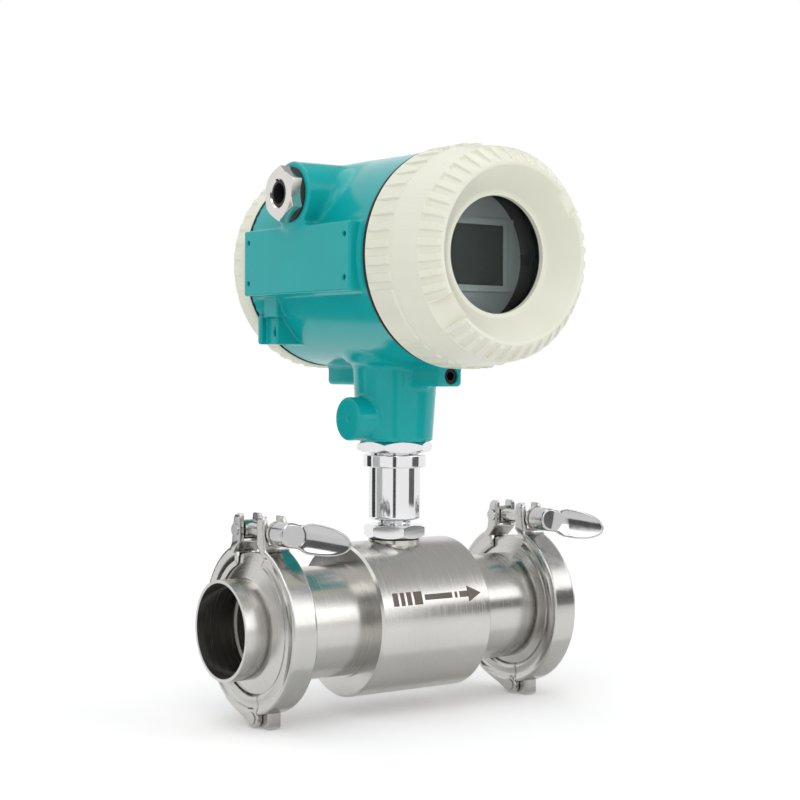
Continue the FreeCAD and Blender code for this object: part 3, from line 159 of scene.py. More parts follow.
def lathe(name, axis, profile, centre, look, count=180, change=None, sharp=35):
    """Turned piece: a closed profile of (along, radius) points swept round an axis.

    Row i and column j give the point at along[i], radius[i] and angle 2 pi j / count.
    change(along, radius, angle) may return three new arrays, for knurls, flats and notches.
    """
    angle = np.arange(count)[None, :] * 2 * np.pi / count + 0 * profile[:, :1]
    along = profile[:, :1] + 0 * angle
    radius = np.maximum(profile[:, 1:], 0) + 0 * angle
    if change:
        along, radius, angle = change(along, radius, angle)
    first, second = radius * np.cos(angle), radius * np.sin(angle)
    order = {"x": (along, first, second), "y": (first, along, second),
             "z": (first, second, along)}[axis]
    points = np.stack([part + shift for part, shift in zip(order, centre)], -1).reshape(-1, 3)
    after = np.roll(profile, -1, axis=0)
    area = np.sum(profile[:, 0] * after[:, 1] - after[:, 0] * profile[:, 1])
    faces = grid_faces(len(profile), count)
    # round Y the two radial directions follow each other the other way
    if (area > 0) == (axis in "xz"):
        faces = faces[:, ::-1]
    return make_piece(name, points, faces, look, sharp=sharp)


def hexed(flats, corner):
    """Change for a lathe that gives it six flats; corner is the angle of one corner."""
    def change(along, radius, angle):
        off = np.mod(angle - math.radians(corner + 30) + np.pi / 6, np.pi / 3) - np.pi / 6
        return along, np.minimum(radius, flats / 2 / np.cos(off)), angle
    return change


def step_up(value, low, high):
    """Smooth rise from 0 at low to 1 at high."""
    share = np.clip((value - low) / (high - low), 0, 1)
    return share * share * (3 - 2 * share)


# ------------------------------------ cast bodies from distances
FINE_STEP, NORMAL_STEP = 0.02, 0.12  # steps of the slopes that place points and give normals
LONGEST_MOVE = 0.8  # of a point in one step towards the surface


def blend_min(a, b, width):
    """Union of two distances with a fillet about as wide as width."""
    share = np.maximum(width - np.abs(a - b), 0) / width
    return np.minimum(a, b) - share * share * width / 4


def blend_max(a, b, width):
    """Intersection of two distances with its edge rounded."""
    return -blend_min(-a, -b, width)


def slab(value, low, high):
    """Distance to the space between two parallel planes."""
    return np.maximum(low - value, value - high)


def round_box(x, y, z, low, high, radius):
    """Distance to a box with rounded edges."""
    sides = [np.abs(v - (a + b) / 2) - (b - a) / 2 + radius
             for v, a, b in zip((x, y, z), low, high)]
    outside = np.sqrt(sum(np.maximum(s, 0) ** 2 for s in sides))
    return outside + np.minimum(np.maximum(np.maximum(sides[0], sides[1]), sides[2]), 0) - radius


def rod(radial, along, radius, low, high, edge):
    """Distance to a cylinder with rounded end edges, from radial and axial coordinates."""
    a = radial - radius + edge
    b = slab(along, low, high) + edge
    return np.minimum(np.maximum(a, b), 0) + np.hypot(np.maximum(a, 0), np.maximum(b, 0)) - edge


def polygon(a, b, corners):
    """Distance to a convex polygon, its corners given counterclockwise: its furthest side."""
    sides = []
    for (a1, b1), (a2, b2) in zip(corners, corners[1:] + corners[:1]):
        long = math.hypot(a2 - a1, b2 - b1)
        sides.append(((a - a1) * (b2 - b1) - (b - b1) * (a2 - a1)) / long)
    return np.maximum.reduce(sides)


def stations(low, high, coarse, fine, zones):
    """Grid lines from low to high, fine inside the zones and coarse between them."""
    edges = sorted({low, high, *[min(max(e, low), high) for zone in zones for e in zone]})
    lines = [np.array([low])]
    for a, b in zip(edges[:-1], edges[1:]):
        step = fine if any(z[0] < (a + b) / 2 < z[1] for z in zones) else coarse
        lines.append(np.linspace(a, b, max(1, round((b - a) / step)) + 1)[1:])
    return np.concatenate(lines)


def field_slope(field, points, small):
    """Central differences of a field at some points."""
    slope = np.empty_like(points)
    for k in range(3):
        ahead, behind = points.copy(), points.copy()
        ahead[:, k] += small
        behind[:, k] -= small
        slope[:, k] = (field(*ahead.T) - field(*behind.T)) / (2 * small)
    return slope


def cast(name, field, lines, look):
    """A cast piece: the surface where a distance field is zero, meshed on a grid of cells.

    Each cell that the surface crosses gets one point, the mean of the crossings on its edges,
    moved onto the surface along the field's slope.  Each grid edge that the surface crosses
    joins the points of its four cells into a quad.  Normals are the field's slope.
    """
    value = field(*np.meshgrid(*lines, indexing="ij"))
    inside = value < 0
    shape = np.array(value.shape) - 1
    total = np.zeros((shape.prod(), 3))
    count = np.zeros(shape.prod())
    crossings = []
    for axis in range(3):
        low, high = [slice(None)] * 3, [slice(None)] * 3
        low[axis], high[axis] = slice(None, -1), slice(1, None)
        crossed = inside[tuple(low)] != inside[tuple(high)]
        spots = np.argwhere(crossed)
        a, b = value[tuple(low)][crossed], value[tuple(high)][crossed]
        place = np.stack([lines[k][spots[:, k]] for k in range(3)], -1)
        gap = lines[axis][spots[:, axis] + 1] - lines[axis][spots[:, axis]]
        place[:, axis] += a / (a - b) * gap
        others = [k for k in range(3) if k != axis]
        corners = []
        for steps in ((0, 0), (1, 0), (1, 1), (0, 1)):
            cell = spots.copy()
            cell[:, others] -= steps
            flat = np.ravel_multi_index(cell.T, shape)
            for k in range(3):
                total[:, k] += np.bincount(flat, place[:, k], len(total))
            count += np.bincount(flat, minlength=len(total))
            corners.append(flat)
        quads = np.stack(corners, -1)
        outward = inside[tuple(low)][crossed] == (axis != 1)
        crossings.append(np.where(outward[:, None], quads, quads[:, ::-1]))
    used = np.flatnonzero(count)
    number = np.zeros(len(total), int)
    number[used] = np.arange(used.size)
    points = total[used] / count[used][:, None]
    for _ in range(3):
        slope = field_slope(field, points, FINE_STEP)
        step = field(*points.T) / np.maximum(np.sum(slope * slope, axis=1), 0.05)
        points = points - np.clip(step, -LONGEST_MOVE, LONGEST_MOVE)[:, None] * slope
    slope = field_slope(field, points, NORMAL_STEP)
    normals = slope / np.maximum(np.linalg.norm(slope, axis=1), 1e-9)[:, None]
    return make_piece(name, points, number[np.concatenate(crossings)], look, normals=normals)


# ------------------------------------ finishes
EVEN = (1, 1, 1)  # the same along every axis


def new_material(name):
    """A material with one principled shader; returns the material, its tree and the shader."""
    material = bpy.data.materials.new(name)
    material.use_nodes = True
    tree = material.node_tree
    tree.nodes.clear()
    shader = tree.nodes.new("ShaderNodeBsdfPrincipled")
    out = tree.nodes.new("ShaderNodeOutputMaterial")
    tree.links.new(shader.outputs["BSDF"], out.inputs["Surface"])
    return material, tree, shader


def noise(tree, scale, detail=4, stretch=EVEN, roughness=0.55):
    """A noise in object coordinates; a larger stretch along an axis makes it finer there."""
    coordinates = tree.nodes.new("ShaderNodeTexCoord")
    mapping = tree.nodes.new("ShaderNodeMapping")
    mapping.inputs["Scale"].default_value = stretch
    tree.links.new(coordinates.outputs["Object"], mapping.inputs["Vector"])
    texture = tree.nodes.new("ShaderNodeTexNoise")
    texture.inputs["Scale"].default_value = scale
    texture.inputs["Detail"].default_value = detail
    texture.inputs["Roughness"].default_value = roughness
    tree.links.new(mapping.outputs["Vector"], texture.inputs["Vector"])
    return texture.outputs["Fac"]


def ramp(tree, factor, stops):
    """A colour ramp of (position, grey or colour) stops."""
    node = tree.nodes.new("ShaderNodeValToRGB")
    elements = node.color_ramp.elements
    while len(elements) < len(stops):
        elements.new(0.5)
    for element, (position, colour) in zip(elements, stops):
        colour = (colour,) * 3 if isinstance(colour, (int, float)) else colour
        element.position = position
        element.color = (*colour, 1)
    tree.links.new(factor, node.inputs["Fac"])
    return node.outputs["Color"]


def bump(tree, shader, height, strength, distance):
    """Relief in the shading alone, from a height and a distance in metres."""
    node = tree.nodes.new("ShaderNodeBump")
    node.inputs["Strength"].default_value = strength
    node.inputs["Distance"].default_value = distance
    tree.links.new(height, node.inputs["Height"])
    tree.links.new(node.outputs["Normal"], shader.inputs["Normal"])


def tint(tree, shader, factor, colour, spread, low, high):
    """Base colour that drifts by a share of itself, down at low and up at high on factor."""
    deeper = tuple(c * (1 - spread) for c in colour)
    paler = tuple(min(1, c * (1 + spread)) for c in colour)
    tree.links.new(ramp(tree, factor, [(low, deeper), (high, paler)]),
                   shader.inputs["Base Color"])


def wear(tree, shader, factor, roughness, stops):
    """Roughness that follows factor; a stop is a place on factor and a share of roughness."""
    tree.links.new(ramp(tree, factor, [(place, roughness * share) for place, share in stops]),
                   shader.inputs["Roughness"])


def enamel(name, colour, spread, roughness):
    """Glossy sprayed enamel: faint colour drift, slight orange peel, thin clear top coat."""
    material, tree, shader = new_material(name)
    tint(tree, shader, noise(tree, 26, 3), colour, spread, 0.35, 0.65)
    wear(tree, shader, noise(tree, 60, 3), roughness, [(0.3, 0.94), (0.7, 1.08)])
    shader.inputs["Specular IOR Level"].default_value = 0.26
    shader.inputs["Coat Weight"].default_value = 0.03
    shader.inputs["Coat Roughness"].default_value = 0.05
    bump(tree, shader, noise(tree, 900, 2), 0.08, 0.0002)
    return material


def steel(name, colour, roughness, stretch, scale=420, strength=0.1, spread=0.06):
    """Metal with fine working marks, finest along the axis with the largest stretch."""
    material, tree, shader = new_material(name)
    marks = noise(tree, scale, 5, stretch, 0.7)
    tint(tree, shader, noise(tree, 38, 3), colour, spread, 0.3, 0.7)
    wear(tree, shader, marks, roughness, [(0.25, 0.7), (0.75, 1.35)])
    shader.inputs["Metallic"].default_value = 1
    bump(tree, shader, marks, strength, 0.00012)
    return material


def moulded(name, colour, roughness, grain=1400, strength=0.15, spread=0.08, gloss=0.5):
    """Moulded plastic or rubber with a fine grain."""
    material, tree, shader = new_material(name)
    tint(tree, shader, noise(tree, 45, 3), colour, spread, 0.35, 0.65)
    wear(tree, shader, noise(tree, 160, 3), roughness, [(0.3, 0.85), (0.7, 1.15)])
    shader.inputs["Specular IOR Level"].default_value = gloss
    bump(tree, shader, noise(tree, grain, 2), strength, 0.0001)
    return material


def window_pane(name):
    """Clear glass with a low index, so that it hardly bends the light."""
    material, tree, shader = new_material(name)
    shader.inputs["Base Color"].default_value = (0.93, 0.97, 0.96, 1)
    shader.inputs["Roughness"].default_value = 0.02
    shader.inputs["IOR"].default_value = 1.16
    shader.inputs["Transmission Weight"].default_value = 1
    return material


TEAL = enamel("teal_enamel", (0.004, 0.385, 0.39), 0.03, 0.17)
IVORY = enamel("ivory_enamel", (0.80, 0.805, 0.685), 0.012, 0.3)
TURNED = steel("turned_steel", (0.60, 0.585, 0.56), 0.23, (60, 1, 1), 45, 0.08, 0.03)
CHROME = steel("chrome_plate", (0.80, 0.80, 0.81), 0.09, (1, 1, 14), 60, 0.015, 0.01)
CAST = steel("cast_steel", (0.55, 0.54, 0.52), 0.19, EVEN, 420, 0.05, 0.05)
POLISHED = steel("polished_steel", (0.52, 0.52, 0.52), 0.14, EVEN, 300, 0.02, 0.03)
NICKEL = steel("nickel_plate", (0.70, 0.68, 0.65), 0.13, EVEN, 400, 0.03, 0.03)
ETCHED = moulded("etched_mark", (0.13, 0.105, 0.085), 0.6, 900, 0.2, 0.15)
DARK_STEEL = steel("black_oxide", (0.03, 0.03, 0.033), 0.35, EVEN, 500, 0.1)
RUBBER = moulded("black_rubber", (0.012, 0.012, 0.013), 0.55)
GASKET = moulded("white_gasket", (0.72, 0.71, 0.66), 0.5)
BLACK_PLASTIC = moulded("black_plastic", (0.012, 0.012, 0.014), 0.38)
GREY_PLASTIC = moulded("grey_bezel", (0.33, 0.365, 0.37), 0.33)
LCD = moulded("lcd_panel", (0.009, 0.019, 0.014), 0.2, 600, 0.01, gloss=0.1)
BOARD = moulded("green_board", (0.02, 0.16, 0.07), 0.35)
BRONZE = steel("bearing_bronze", (0.55, 0.38, 0.18), 0.3, EVEN)
COPPER = steel("coil_copper", (0.62, 0.28, 0.12), 0.3, EVEN)
MAGNET = steel("magnet_grey", (0.25, 0.25, 0.26), 0.4, EVEN)
GLASS = window_pane("window_glass")

FINISHED_NODES = (
    (TURNED, "upstream_guide downstream_guide meter_body inlet_ferrule outlet_ferrule"),
    (POLISHED, "upstream_retainer downstream_retainer rotor rotor_shaft board_standoffs "
               "terminal_screws"),
    (CHROME, "sensor_barrel neck_stem"),
    (NICKEL, "lock_nut neck_nut gland_body blanking_plug"),
    (BRONZE, "upstream_bearing downstream_bearing"),
    (COPPER, "sensor_coil"),
    (MAGNET, "sensor_magnet"),
    (DARK_STEEL, "lock_screws display_screws"),
    (GASKET, "inlet_gasket outlet_gasket"),
    (RUBBER, "seal_washer gland_washer gland_seal plug_washer window_gasket front_o_ring "
             "rear_o_ring"),
    (TEAL, "housing partition"),
    (IVORY, "front_cover rear_cover"),
    (GLASS, "window_glass"),
    (BLACK_PLASTIC, "window_ring display_carrier terminal_block"),
    (GREY_PLASTIC, "display_bezel"),
    (LCD, "display_lcd"),
    (BOARD, "amplifier_board"),
)
CAD_FINISH = {name: finish for finish, names in FINISHED_NODES for name in names.split()}


def dress_cad_nodes():
    """Give every CAD node its finish; the clamps' nodes aren't in the table and are cast."""
    for name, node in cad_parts.items():
        finish = CAD_FINISH.get(name, CAST if "clamp" in name else TURNED)
        node.data.materials.clear()
        node.data.materials.append(finish)


# ------------------------------------ covers
RIBS = 42
RIB_END = 0.35  # length of a rib's sloped end
RIB_FLANK = (0.22, 0.28)  # where a rib's side falls, as a share of the pitch from its middle
PLAIN_SECTOR = (20, 46)  # degrees of turn without gaps between the ribs, twice round
# a ribbed band: along at the ribs' tips and at their root ring, radius between the ribs, rise
FRONT_BAND = (-59.2, -44.4, 46.2, 0.97)
REAR_BAND = (62.0, 55.2, 46.45, 0.72)
KNURLS = 42
KNURL_DEEP = 1.25
KNURL_FLANK = (0.2, 0.3)  # where a knurl's side falls, as a share of the pitch from its middle
KNURL_START = (75.4, 76.0)  # how far forward of the neck's axis the valleys begin
KNURL_RADII = (37.3, 39.3)  # radii between which the valleys run out towards the face
NOTCH_HALF = 6.25  # half the width of the wrench slot across the front cover
NOTCH_TURN = math.radians(37.5)  # angle of the slot's middle
NOTCH_COLUMN = 22  # mesh columns from the slot's middle to its wall
NOTCH_INNER = 34  # radius where the slot begins
NOTCH_FLOOR, NOTCH_SLOPE = -80.4, 0.6  # place of its floor at radius 36, and its slope
WALL_HAIR = 0.0008  # half the angle between the two columns that make the slot's wall


def ribbed(along, radius, angle, tip, root, base, rise):
    """Radius with raised bars that run from a raised ring at the root to their tips.

    Two sectors are raised all over instead, without gaps between the bars.
    """
    turn = np.degrees(angle) % 180
    wave = np.abs(np.mod(angle * RIBS / (2 * np.pi), 1) - 0.5)
    bar = 1 - step_up(wave, *RIB_FLANK)
    first, last = PLAIN_SECTOR
    plain = step_up(turn, first - 0.5, first + 0.5) * (1 - step_up(turn, last - 0.5, last + 0.5))
    long = abs(root - tip)
    out = (along - tip) * np.sign(root - tip)
    ring = step_up(out, long - RIB_END, long)
    level = np.maximum(np.maximum(bar, plain), ring) * step_up(out, 0, RIB_END)
    band = (out > -0.1) & (out < long + 1) & (radius > base - 0.7)
    return np.where(band, base + rise * level, radius)


def front_cover_shape(along, radius, angle):
    """Ribs on the band, stepped knurls on the shoulder and two wrench notches.

    The columns are first moved so that two of them run along each side of the notch, which is
    a straight slot across the axis.  Between the knurls the shoulder is lowered by a step, more
    inwards than backwards the larger the radius.  The notch's floor slopes with the radius.
    """
    column = 2 * np.pi / angle.shape[1]
    off = np.mod(angle - NOTCH_TURN + np.pi / 2, np.pi) - np.pi / 2
    home = angle - off
    inner, outer = NOTCH_COLUMN * column, (NOTCH_COLUMN + 1) * column
    wall = np.arcsin(np.clip(NOTCH_HALF / np.maximum(radius, 7), 0, 0.9))
    inside = np.abs(off) < (NOTCH_COLUMN + 0.5) * column
    moved = np.where(inside, np.abs(off) * (wall - WALL_HAIR) / inner,
                     wall + WALL_HAIR + (np.abs(off) - outer) * (np.pi / 2 - wall - WALL_HAIR)
                     / (np.pi / 2 - outer))
    angle = home + np.sign(off) * moved
    radius = ribbed(along, radius, angle, *FRONT_BAND)
    shoulder = step_up(-along, *KNURL_START) * step_up(radius, *KNURL_RADII)
    wave = np.abs(np.mod(angle * KNURLS / (2 * np.pi), 1) - 0.5)
    lowered = np.where(inside, 0, shoulder * KNURL_DEEP * step_up(wave, *KNURL_FLANK))
    outward = np.clip((radius - 37) / 8, 0, 1)
    radius = radius - lowered * outward
    along = along + lowered * (1 - 0.6 * outward)
    floor = NOTCH_FLOOR + NOTCH_SLOPE * (radius - 36)
    slot = inside & (along < floor) & (radius > NOTCH_INNER)
    return np.where(slot, floor, along), radius, angle


def rear_cover_shape(along, radius, angle):
    """Ribs on the band of the rear cover."""
    return along, ribbed(along, radius, angle, *REAR_BAND), angle


def make_covers():
    """Front cover with its window opening, the plain rear cover, and a seal ring drawn as painted
    seam shadow.
    """
    outline = rounded([
        (-42.3, 45.9), (-42.3, 46.2, 0.2), (-43.2, 46.2), (-44.05, 46.2), (-44.4, 46.2),
        (-58.85, 46.2), (-59.2, 46.2), (-61.2, 46.15, 0.6),
        (-75.6, 44.25, 0.3), (-82.2, 39.2, 2.0), (-83, 37.4, 1.2),
        (-82.9, 36.2, 1.4), (-72.3, 26.4, 1.0), (-71.8, 25.4, 0.3), (-71.8, 24.4, 0.25),
        (-69.5, 24.4), (-69.5, 38.4), (-60.5, 38.4), (-60.5, 44.1), (-44.0, 44.1),
        (-44.0, 46.1)], 4)
    outline = denser(outline, 3.0, -60.0, -42.3)
    outline = denser(outline, 0.8, -83.5, -74.5)
    look = (IVORY, "front_lid", ["front_cover"], "ivory_enamel")
    lathe("front_cover_look", "y", outline, HEAD_AXIS, look, count=924, change=front_cover_shape,
          sharp=30)

    outline = rounded([
        (52.9, 46.1), (52.9, 46.45, 0.3), (54.4, 46.45), (55.2, 46.45), (55.55, 46.45),
        (61.65, 46.45),
        (62.0, 46.45), (62.6, 46.45, 0.4), (65.7, 44.6, 2.4), (65.7, 0),
        (62.2, 0), (62.2, 44.1), (55.1, 44.1), (55.1, 46.1)], 5)
    look = (IVORY, "rear_lid", ["rear_cover"], "ivory_enamel")
    lathe("rear_cover_look", "y", outline, HEAD_AXIS, look, count=672, change=rear_cover_shape,
          sharp=30)
    # black rubber ring in the front seam's gap: partly the real seal, raised proud of the drum so
    # that it paints the dark shadow line of the gap
    lip = rounded([(-41.25, 45.2), (-41.25, 46.85, 0.3), (-42.35, 46.85, 0.3), (-42.35, 45.2)])
    lathe("seam_seal_and_shadow_line", "y", lip[::-1], HEAD_AXIS, (RUBBER, "meter", [], "black_rubber"))


# ------------------------------------ cast housing
NECK_RADIUS = 16.8  # at the neck's lower end
NECK_FOOT, NECK_TOP = 77.55, 130
NECK_TAPER = 0.065  # growth of the neck's radius with height
# rods, as radius, from, to and edge radius
DRUM_RODS = ((46, -41.3, 52.4, 0.7), (44, -53.3, 60.9, 0.4))
CHAMBER_RODS = ((40.5, -70, 3, 0.2), (41.5, 2, 80, 0.2))
NECK_BOSS = (9.3, -24.8, 0, 0.9)
NECK_FLARE = (22.0, 112.5, 128, 1.0)
ENTRY_BARREL = (14.2, 0, 52, 1.1)
ENTRY_HOLE = (8.1, 36, 70, 0.1)
PLATE_SCREW_HOLE = (1.15, -60, -47, 0.1)
GROUND_SCREW_HOLE = (1.65, -60, -32, 0.1)
LOCK_SCREW_HOLE = (3.5, 33.65, 60, 0.1)
NECK_BORE = (11.25, 60, 101.6, 0.2)
# boxes, as lowest corner, highest corner and edge radius, with X from the mid plane
LOCK_LUGS = ((-5.9, -41.3, 102.4), (5.9, 46, 124), 1.8)
PLATE_PAD = ((-51, -37.7, 142), (-30, 46, 171), 0.9)
GROUND_PAD = ((-42, 32, 120.5), (-15, 49, 134), 0.7)
GROUND_RISER = ((-44.2, 29, 132.5), (-15, 40, 143.5), 0.8)
GROUND_RECESS = ((-50, 33.5, 115), (-39, 46, 132.5), 0.3)


def housing_field(x, y, z):
    """Drum on a neck, with lugs, plate pad, ground pad and cable bosses, blended as cast.

    Each part is joined to the ones before it with a fillet of its own width, and the recess,
    the holes and the two chambers are taken away last.
    """
    x = x - MID_X
    radial = np.hypot(x, z - HEAD_Z)
    stem = np.hypot(x, y)
    entry = np.hypot(y - ENTRY_Y, z - ENTRY_Z)
    drum = np.minimum(*(rod(radial, y, *size) for size in DRUM_RODS))
    neck = blend_max(stem - NECK_RADIUS - (z - NECK_FOOT) * NECK_TAPER, NECK_FOOT - z, 1.6)
    neck = np.maximum(neck, z - NECK_TOP)
    neck = blend_min(neck, rod(np.hypot(y, z - BOSS_Z), x, *NECK_BOSS), 2.0)
    neck = blend_min(neck, rod(stem, z, *NECK_FLARE), 4.0)
    neck = blend_min(neck, round_box(x, y, z, *LOCK_LUGS), 3.0)
    body = blend_min(drum, neck, 3.0)
    body = blend_min(body, round_box(x, y, z, *PLATE_PAD), 2.0)
    body = blend_min(body, rod(entry, np.abs(x), *ENTRY_BARREL), 5.0)
    ground = np.minimum(round_box(x, y, z, *GROUND_PAD), round_box(x, y, z, *GROUND_RISER))
    body = blend_min(body, ground, 0.8)
    body = blend_max(body, -round_box(x, y, z, *GROUND_RECESS), 0.6)
    # the plate's screws are two by two, and the two lock screws lie in line along Y
    plate_screws = np.hypot(np.abs(y - 4.15) - 38.25, np.abs(z - 156.5) - 9)
    holes = [
        rod(entry, np.abs(x), *ENTRY_HOLE),
        rod(plate_screws, x, *PLATE_SCREW_HOLE),
        rod(np.hypot(y - 38.5, z - 126), x, *GROUND_SCREW_HOLE),
        rod(np.hypot(x, z - 106.9), np.abs(y - 2.35), *LOCK_SCREW_HOLE),
        rod(stem, z, *NECK_BORE)]
    body = blend_max(body, -np.minimum.reduce(holes), 0.5)
    chambers = np.minimum(*(rod(radial, y, *size) for size in CHAMBER_RODS))
    return np.maximum(body, -chambers)


def make_housing():
    """The cast housing, on a finer grid where its small forms are, and the neck's boss cap."""
    coarse, fine = 1.9, 0.6
    lines = (stations(MID_X - 54, MID_X + 54, coarse, fine,
                      [(MID_X - 53, MID_X - 46), (MID_X - 7, MID_X + 7)]),
             stations(-56, 63, coarse, fine, [(-42.5, -31.5), (29, 50)]),
             stations(75, 206, coarse, fine, [(101, 112), (119.5, 128), (131.5, 135),
                                              (140.5, 150), (163, 172.5)]))
    cast("housing_look", housing_field, lines, (TEAL, "meter", ["housing"], "teal_enamel"))
    boss = rounded([(-25.0, 0), (-25.0, 0.9), (-25.5, 1.5, 0.3), (-25.5, 9.5, 0.7), (-13, 9.5),
                    (-13, 0)])
    lathe("neck_boss_look", "x", boss, (MID_X, 0, BOSS_Z), (TEAL, "meter", [], "teal_enamel"), 96)


# ------------------------------------ clamps
CLAMP_AWAY = 70  # from the mid plane to the middle of each clamp
CLAMP_HALF = 6  # half the ring's width along the pipe
CLAMP_RING, CLAMP_BORE = 36.5, 27.5  # the ring's outer and inner radius
HINGE_Y, HINGE_Z = -4.0, -37.18  # axis of the hinge pin, along X
KNUCKLE = 4.0  # radius of the knuckles round the hinge pin
KNUCKLE_GAP = 0.3  # clearance that each half leaves round the other's knuckles
EAR_INNER, EAR_OUTER, EAR_TOP = 6.8, 13.8, 48  # the ear's faces and its top
BOLT_Z = 41  # axis of the swing bolt, along Y, when the clamp is closed
SLOT_HALF, SLOT_FLOOR = 3.5, 36.2  # the swing bolt's slot through the ear
# corners, counterclockwise: of the arm as (y, z), of the hollow under the ear as (out, z)
HINGE_ARM = [(-4.0, -32.0), (-4.0, -37.18), (-2.37, -40.83), (18.25, -31.61), (14.75, -32.0)]
EAR_MOUTH = [(-5, 21.84), (8.26, 21.84), (11.8, 31.2), (6.8, 36.2), (-5, 36.2)]


def clamp_field(side, middle):
    """Distance to one clamp half: a ring with lips, an ear, and its share of the hinge.

    side is +1 for the rear half and -1 for the front half; middle is the ring's place in X.
    The rear half has an arm and two outer knuckles, the front half a tongue between them.
    """
    def field(x, y, z):
        u, out = np.abs(x - middle), side * y
        rho = np.hypot(y, z)
        ends = u - CLAMP_HALF
        # a shallow hollow round each side, sloping rims, and the ear with its sloping shoulder
        hollow = 0.75 * np.maximum(0, 1 - ((rho - 32.4) / 2.7) ** 2)
        ring = blend_max(ends + hollow, rho - CLAMP_RING, 1.1)
        ring = np.maximum(ring, CLAMP_BORE - rho)
        ring = blend_max(ring, (ends * 2 - (rho - 29.5) * 1.296) / 2.383, 0.8)
        shoulder = 50.6 if side > 0 else 49.3
        outer = blend_min(out - EAR_OUTER, (out + z - shoulder) / 1.4142, 2.5)
        outer = np.maximum(outer, (out + EAR_OUTER - 26.6 + (z - BOLT_Z) / 7))
        sides = blend_max(np.maximum(outer, 31 - z), EAR_INNER - out, 0.9)
        ear = blend_max(blend_max(ends, z - EAR_TOP, 2.6), sides, 0.9)
        whole = blend_min(ring, ear, 1.2)
        if side > 0:
            arm = blend_max(polygon(y, z, HINGE_ARM), ends, 1.0)
            whole = blend_min(whole, arm, 1.2)
        cut_face = np.where(z > 0, EAR_INNER - out, -side * (y + 7.5) + 0.2)
        whole = blend_max(whole, cut_face, 0.5)
        pin = np.hypot(y - HINGE_Y, z - HINGE_Z)
        if side > 0:
            whole = blend_min(whole, rod(pin, u, KNUCKLE, -9, 6, 0.7), 0.8)
            gap = np.minimum(rod(pin, u, KNUCKLE + KNUCKLE_GAP, -9, 3.15, 0.1),
                             np.maximum(np.maximum(u - 3.15, y + 4), z + 33.1))
        else:
            tongue = round_box(u, y, z, (-9, -12.8, -41.1), (3, -4, -33.4), 0.6)
            whole = np.minimum(whole, np.minimum(rod(pin, u, KNUCKLE, -9, 3, 0.3), tongue))
            gap = np.maximum(pin - (KNUCKLE + KNUCKLE_GAP), 3 - u)
        whole = blend_max(whole, -gap, 0.4)
        # the walls of the flanges' groove lean at twenty degrees
        groove = (u - 4.704 + (rho - CLAMP_BORE) * 0.364) * 0.94
        room = np.maximum(rho - 33, groove)
        slot = np.maximum(u - SLOT_HALF, SLOT_FLOOR - z)
        for hollow_part in (polygon(out, z, EAR_MOUTH), room, slot):
            whole = blend_max(whole, -hollow_part, 0.5)
        return whole

    return field


WING_SWEEP, WING_DROOP = math.radians(45), math.radians(12)
WING_END, WING_TIP = 28.4, 28.6  # where the wing is cut, and where its outline closes
WING_Y = -19.75  # place of the wing's root along the swing bolt
NUT_HUB = (5.1, -25.5, -15.25, 1.0)  # radius, from, to and edge radius
NUT_BORE, BORE_END = 3.1, -24.95


def wing_nut_field(middle):
    """Distance to a round hub with one spoon-shaped wing that sweeps forward and droops.

    The wing's middle line runs from the hub's axis; its half width is a smooth curve of the
    distance along it, and its middle surface bends towards the front by the square of the
    place across, which hollows the front face.
    """
    sweep, droop = WING_SWEEP, WING_DROOP
    long = (math.cos(sweep) * math.cos(droop), -math.sin(sweep),
            -math.cos(sweep) * math.sin(droop))
    wide = (math.sin(droop), 0, math.cos(droop))
    thick = (math.sin(sweep) * math.cos(droop), math.cos(sweep),
             -math.sin(sweep) * math.sin(droop))

    def field(x, y, z):
        place = (x - middle, y - WING_Y, z - BOLT_Z)
        along, across, through = (sum(p * d for p, d in zip(place, way))
                                  for way in (long, wide, thick))
        around = np.hypot(place[0], place[2])
        share = np.clip(along / WING_TIP, 0, 1)
        half = 3.6 + 2.9 * step_up(share, 0.08, 0.42)
        half = half * np.sqrt(np.maximum(1 - np.maximum((share - 0.42) / 0.58, 0) ** 2.4, 0.001))
        body = 2.6 - 1.35 * step_up(share, 0.1, 0.45)
        bend = -1.7 * (across / 6) ** 2 * step_up(share, 0.12, 0.4)
        flat = np.abs(through - bend) - body * 0.75
        wing = blend_max(blend_max(np.abs(across) - half, flat, 1.4),
                         slab(along, 0, WING_END), 1.0)
        nut = blend_min(rod(around, y, *NUT_HUB), wing, 2.5)
        return np.maximum(nut, -np.maximum(around - NUT_BORE, BORE_END - y))

    return field


def make_clamps():
    """Both halves and the wing nut of the clamp at each end."""
    for end, middle in (("inlet", MID_X - CLAMP_AWAY), ("outlet", MID_X + CLAMP_AWAY)):
        width = stations(middle - 7.2, middle + 7.2, 0.6, 0.6, [])
        for half, side, body in (("rear", 1, "meter"), ("front", -1, f"{end}_clamp_jaw")):
            low, high = (-9.4, 37.6) if side > 0 else (-37.6, 1.4)
            lines = (width, stations(low, high, 0.62, 0.6, []), stations(-42, 49, 0.62, 0.6, []))
            cast(f"{end}_{half}_half_look", clamp_field(side, middle), lines,
                 (CAST, body, [f"{end}_clamp_{half}_half"], "stainless_cast"))
        lines = (stations(middle - 6.2, middle + 22.5, 0.4, 0.4, []),
                 stations(-42, -14.4, 0.4, 0.4, []), stations(28, 51, 0.4, 0.4, []))
        cast(f"{end}_wing_nut_look", wing_nut_field(middle), lines,
             (POLISHED, f"{end}_nut", [f"{end}_clamp_wing_nut"], "stainless_cast"))


# ------------------------------------ neck, gland and marks
def threaded(low, high, base, pitch, deep):
    """Change for a lathe that cuts a thread into the surface of radius base.

    The radius falls by the depth times a triangle wave of along / pitch less the turn.
    """
    def change(along, radius, angle):
        wave = np.abs(np.mod(along / pitch - angle / (2 * np.pi), 1) * 2 - 1)
        zone = (np.abs(radius - base) < 0.02) & (along > low) & (along < high)
        return along, np.where(zone, radius - deep * wave, radius), angle
    return change


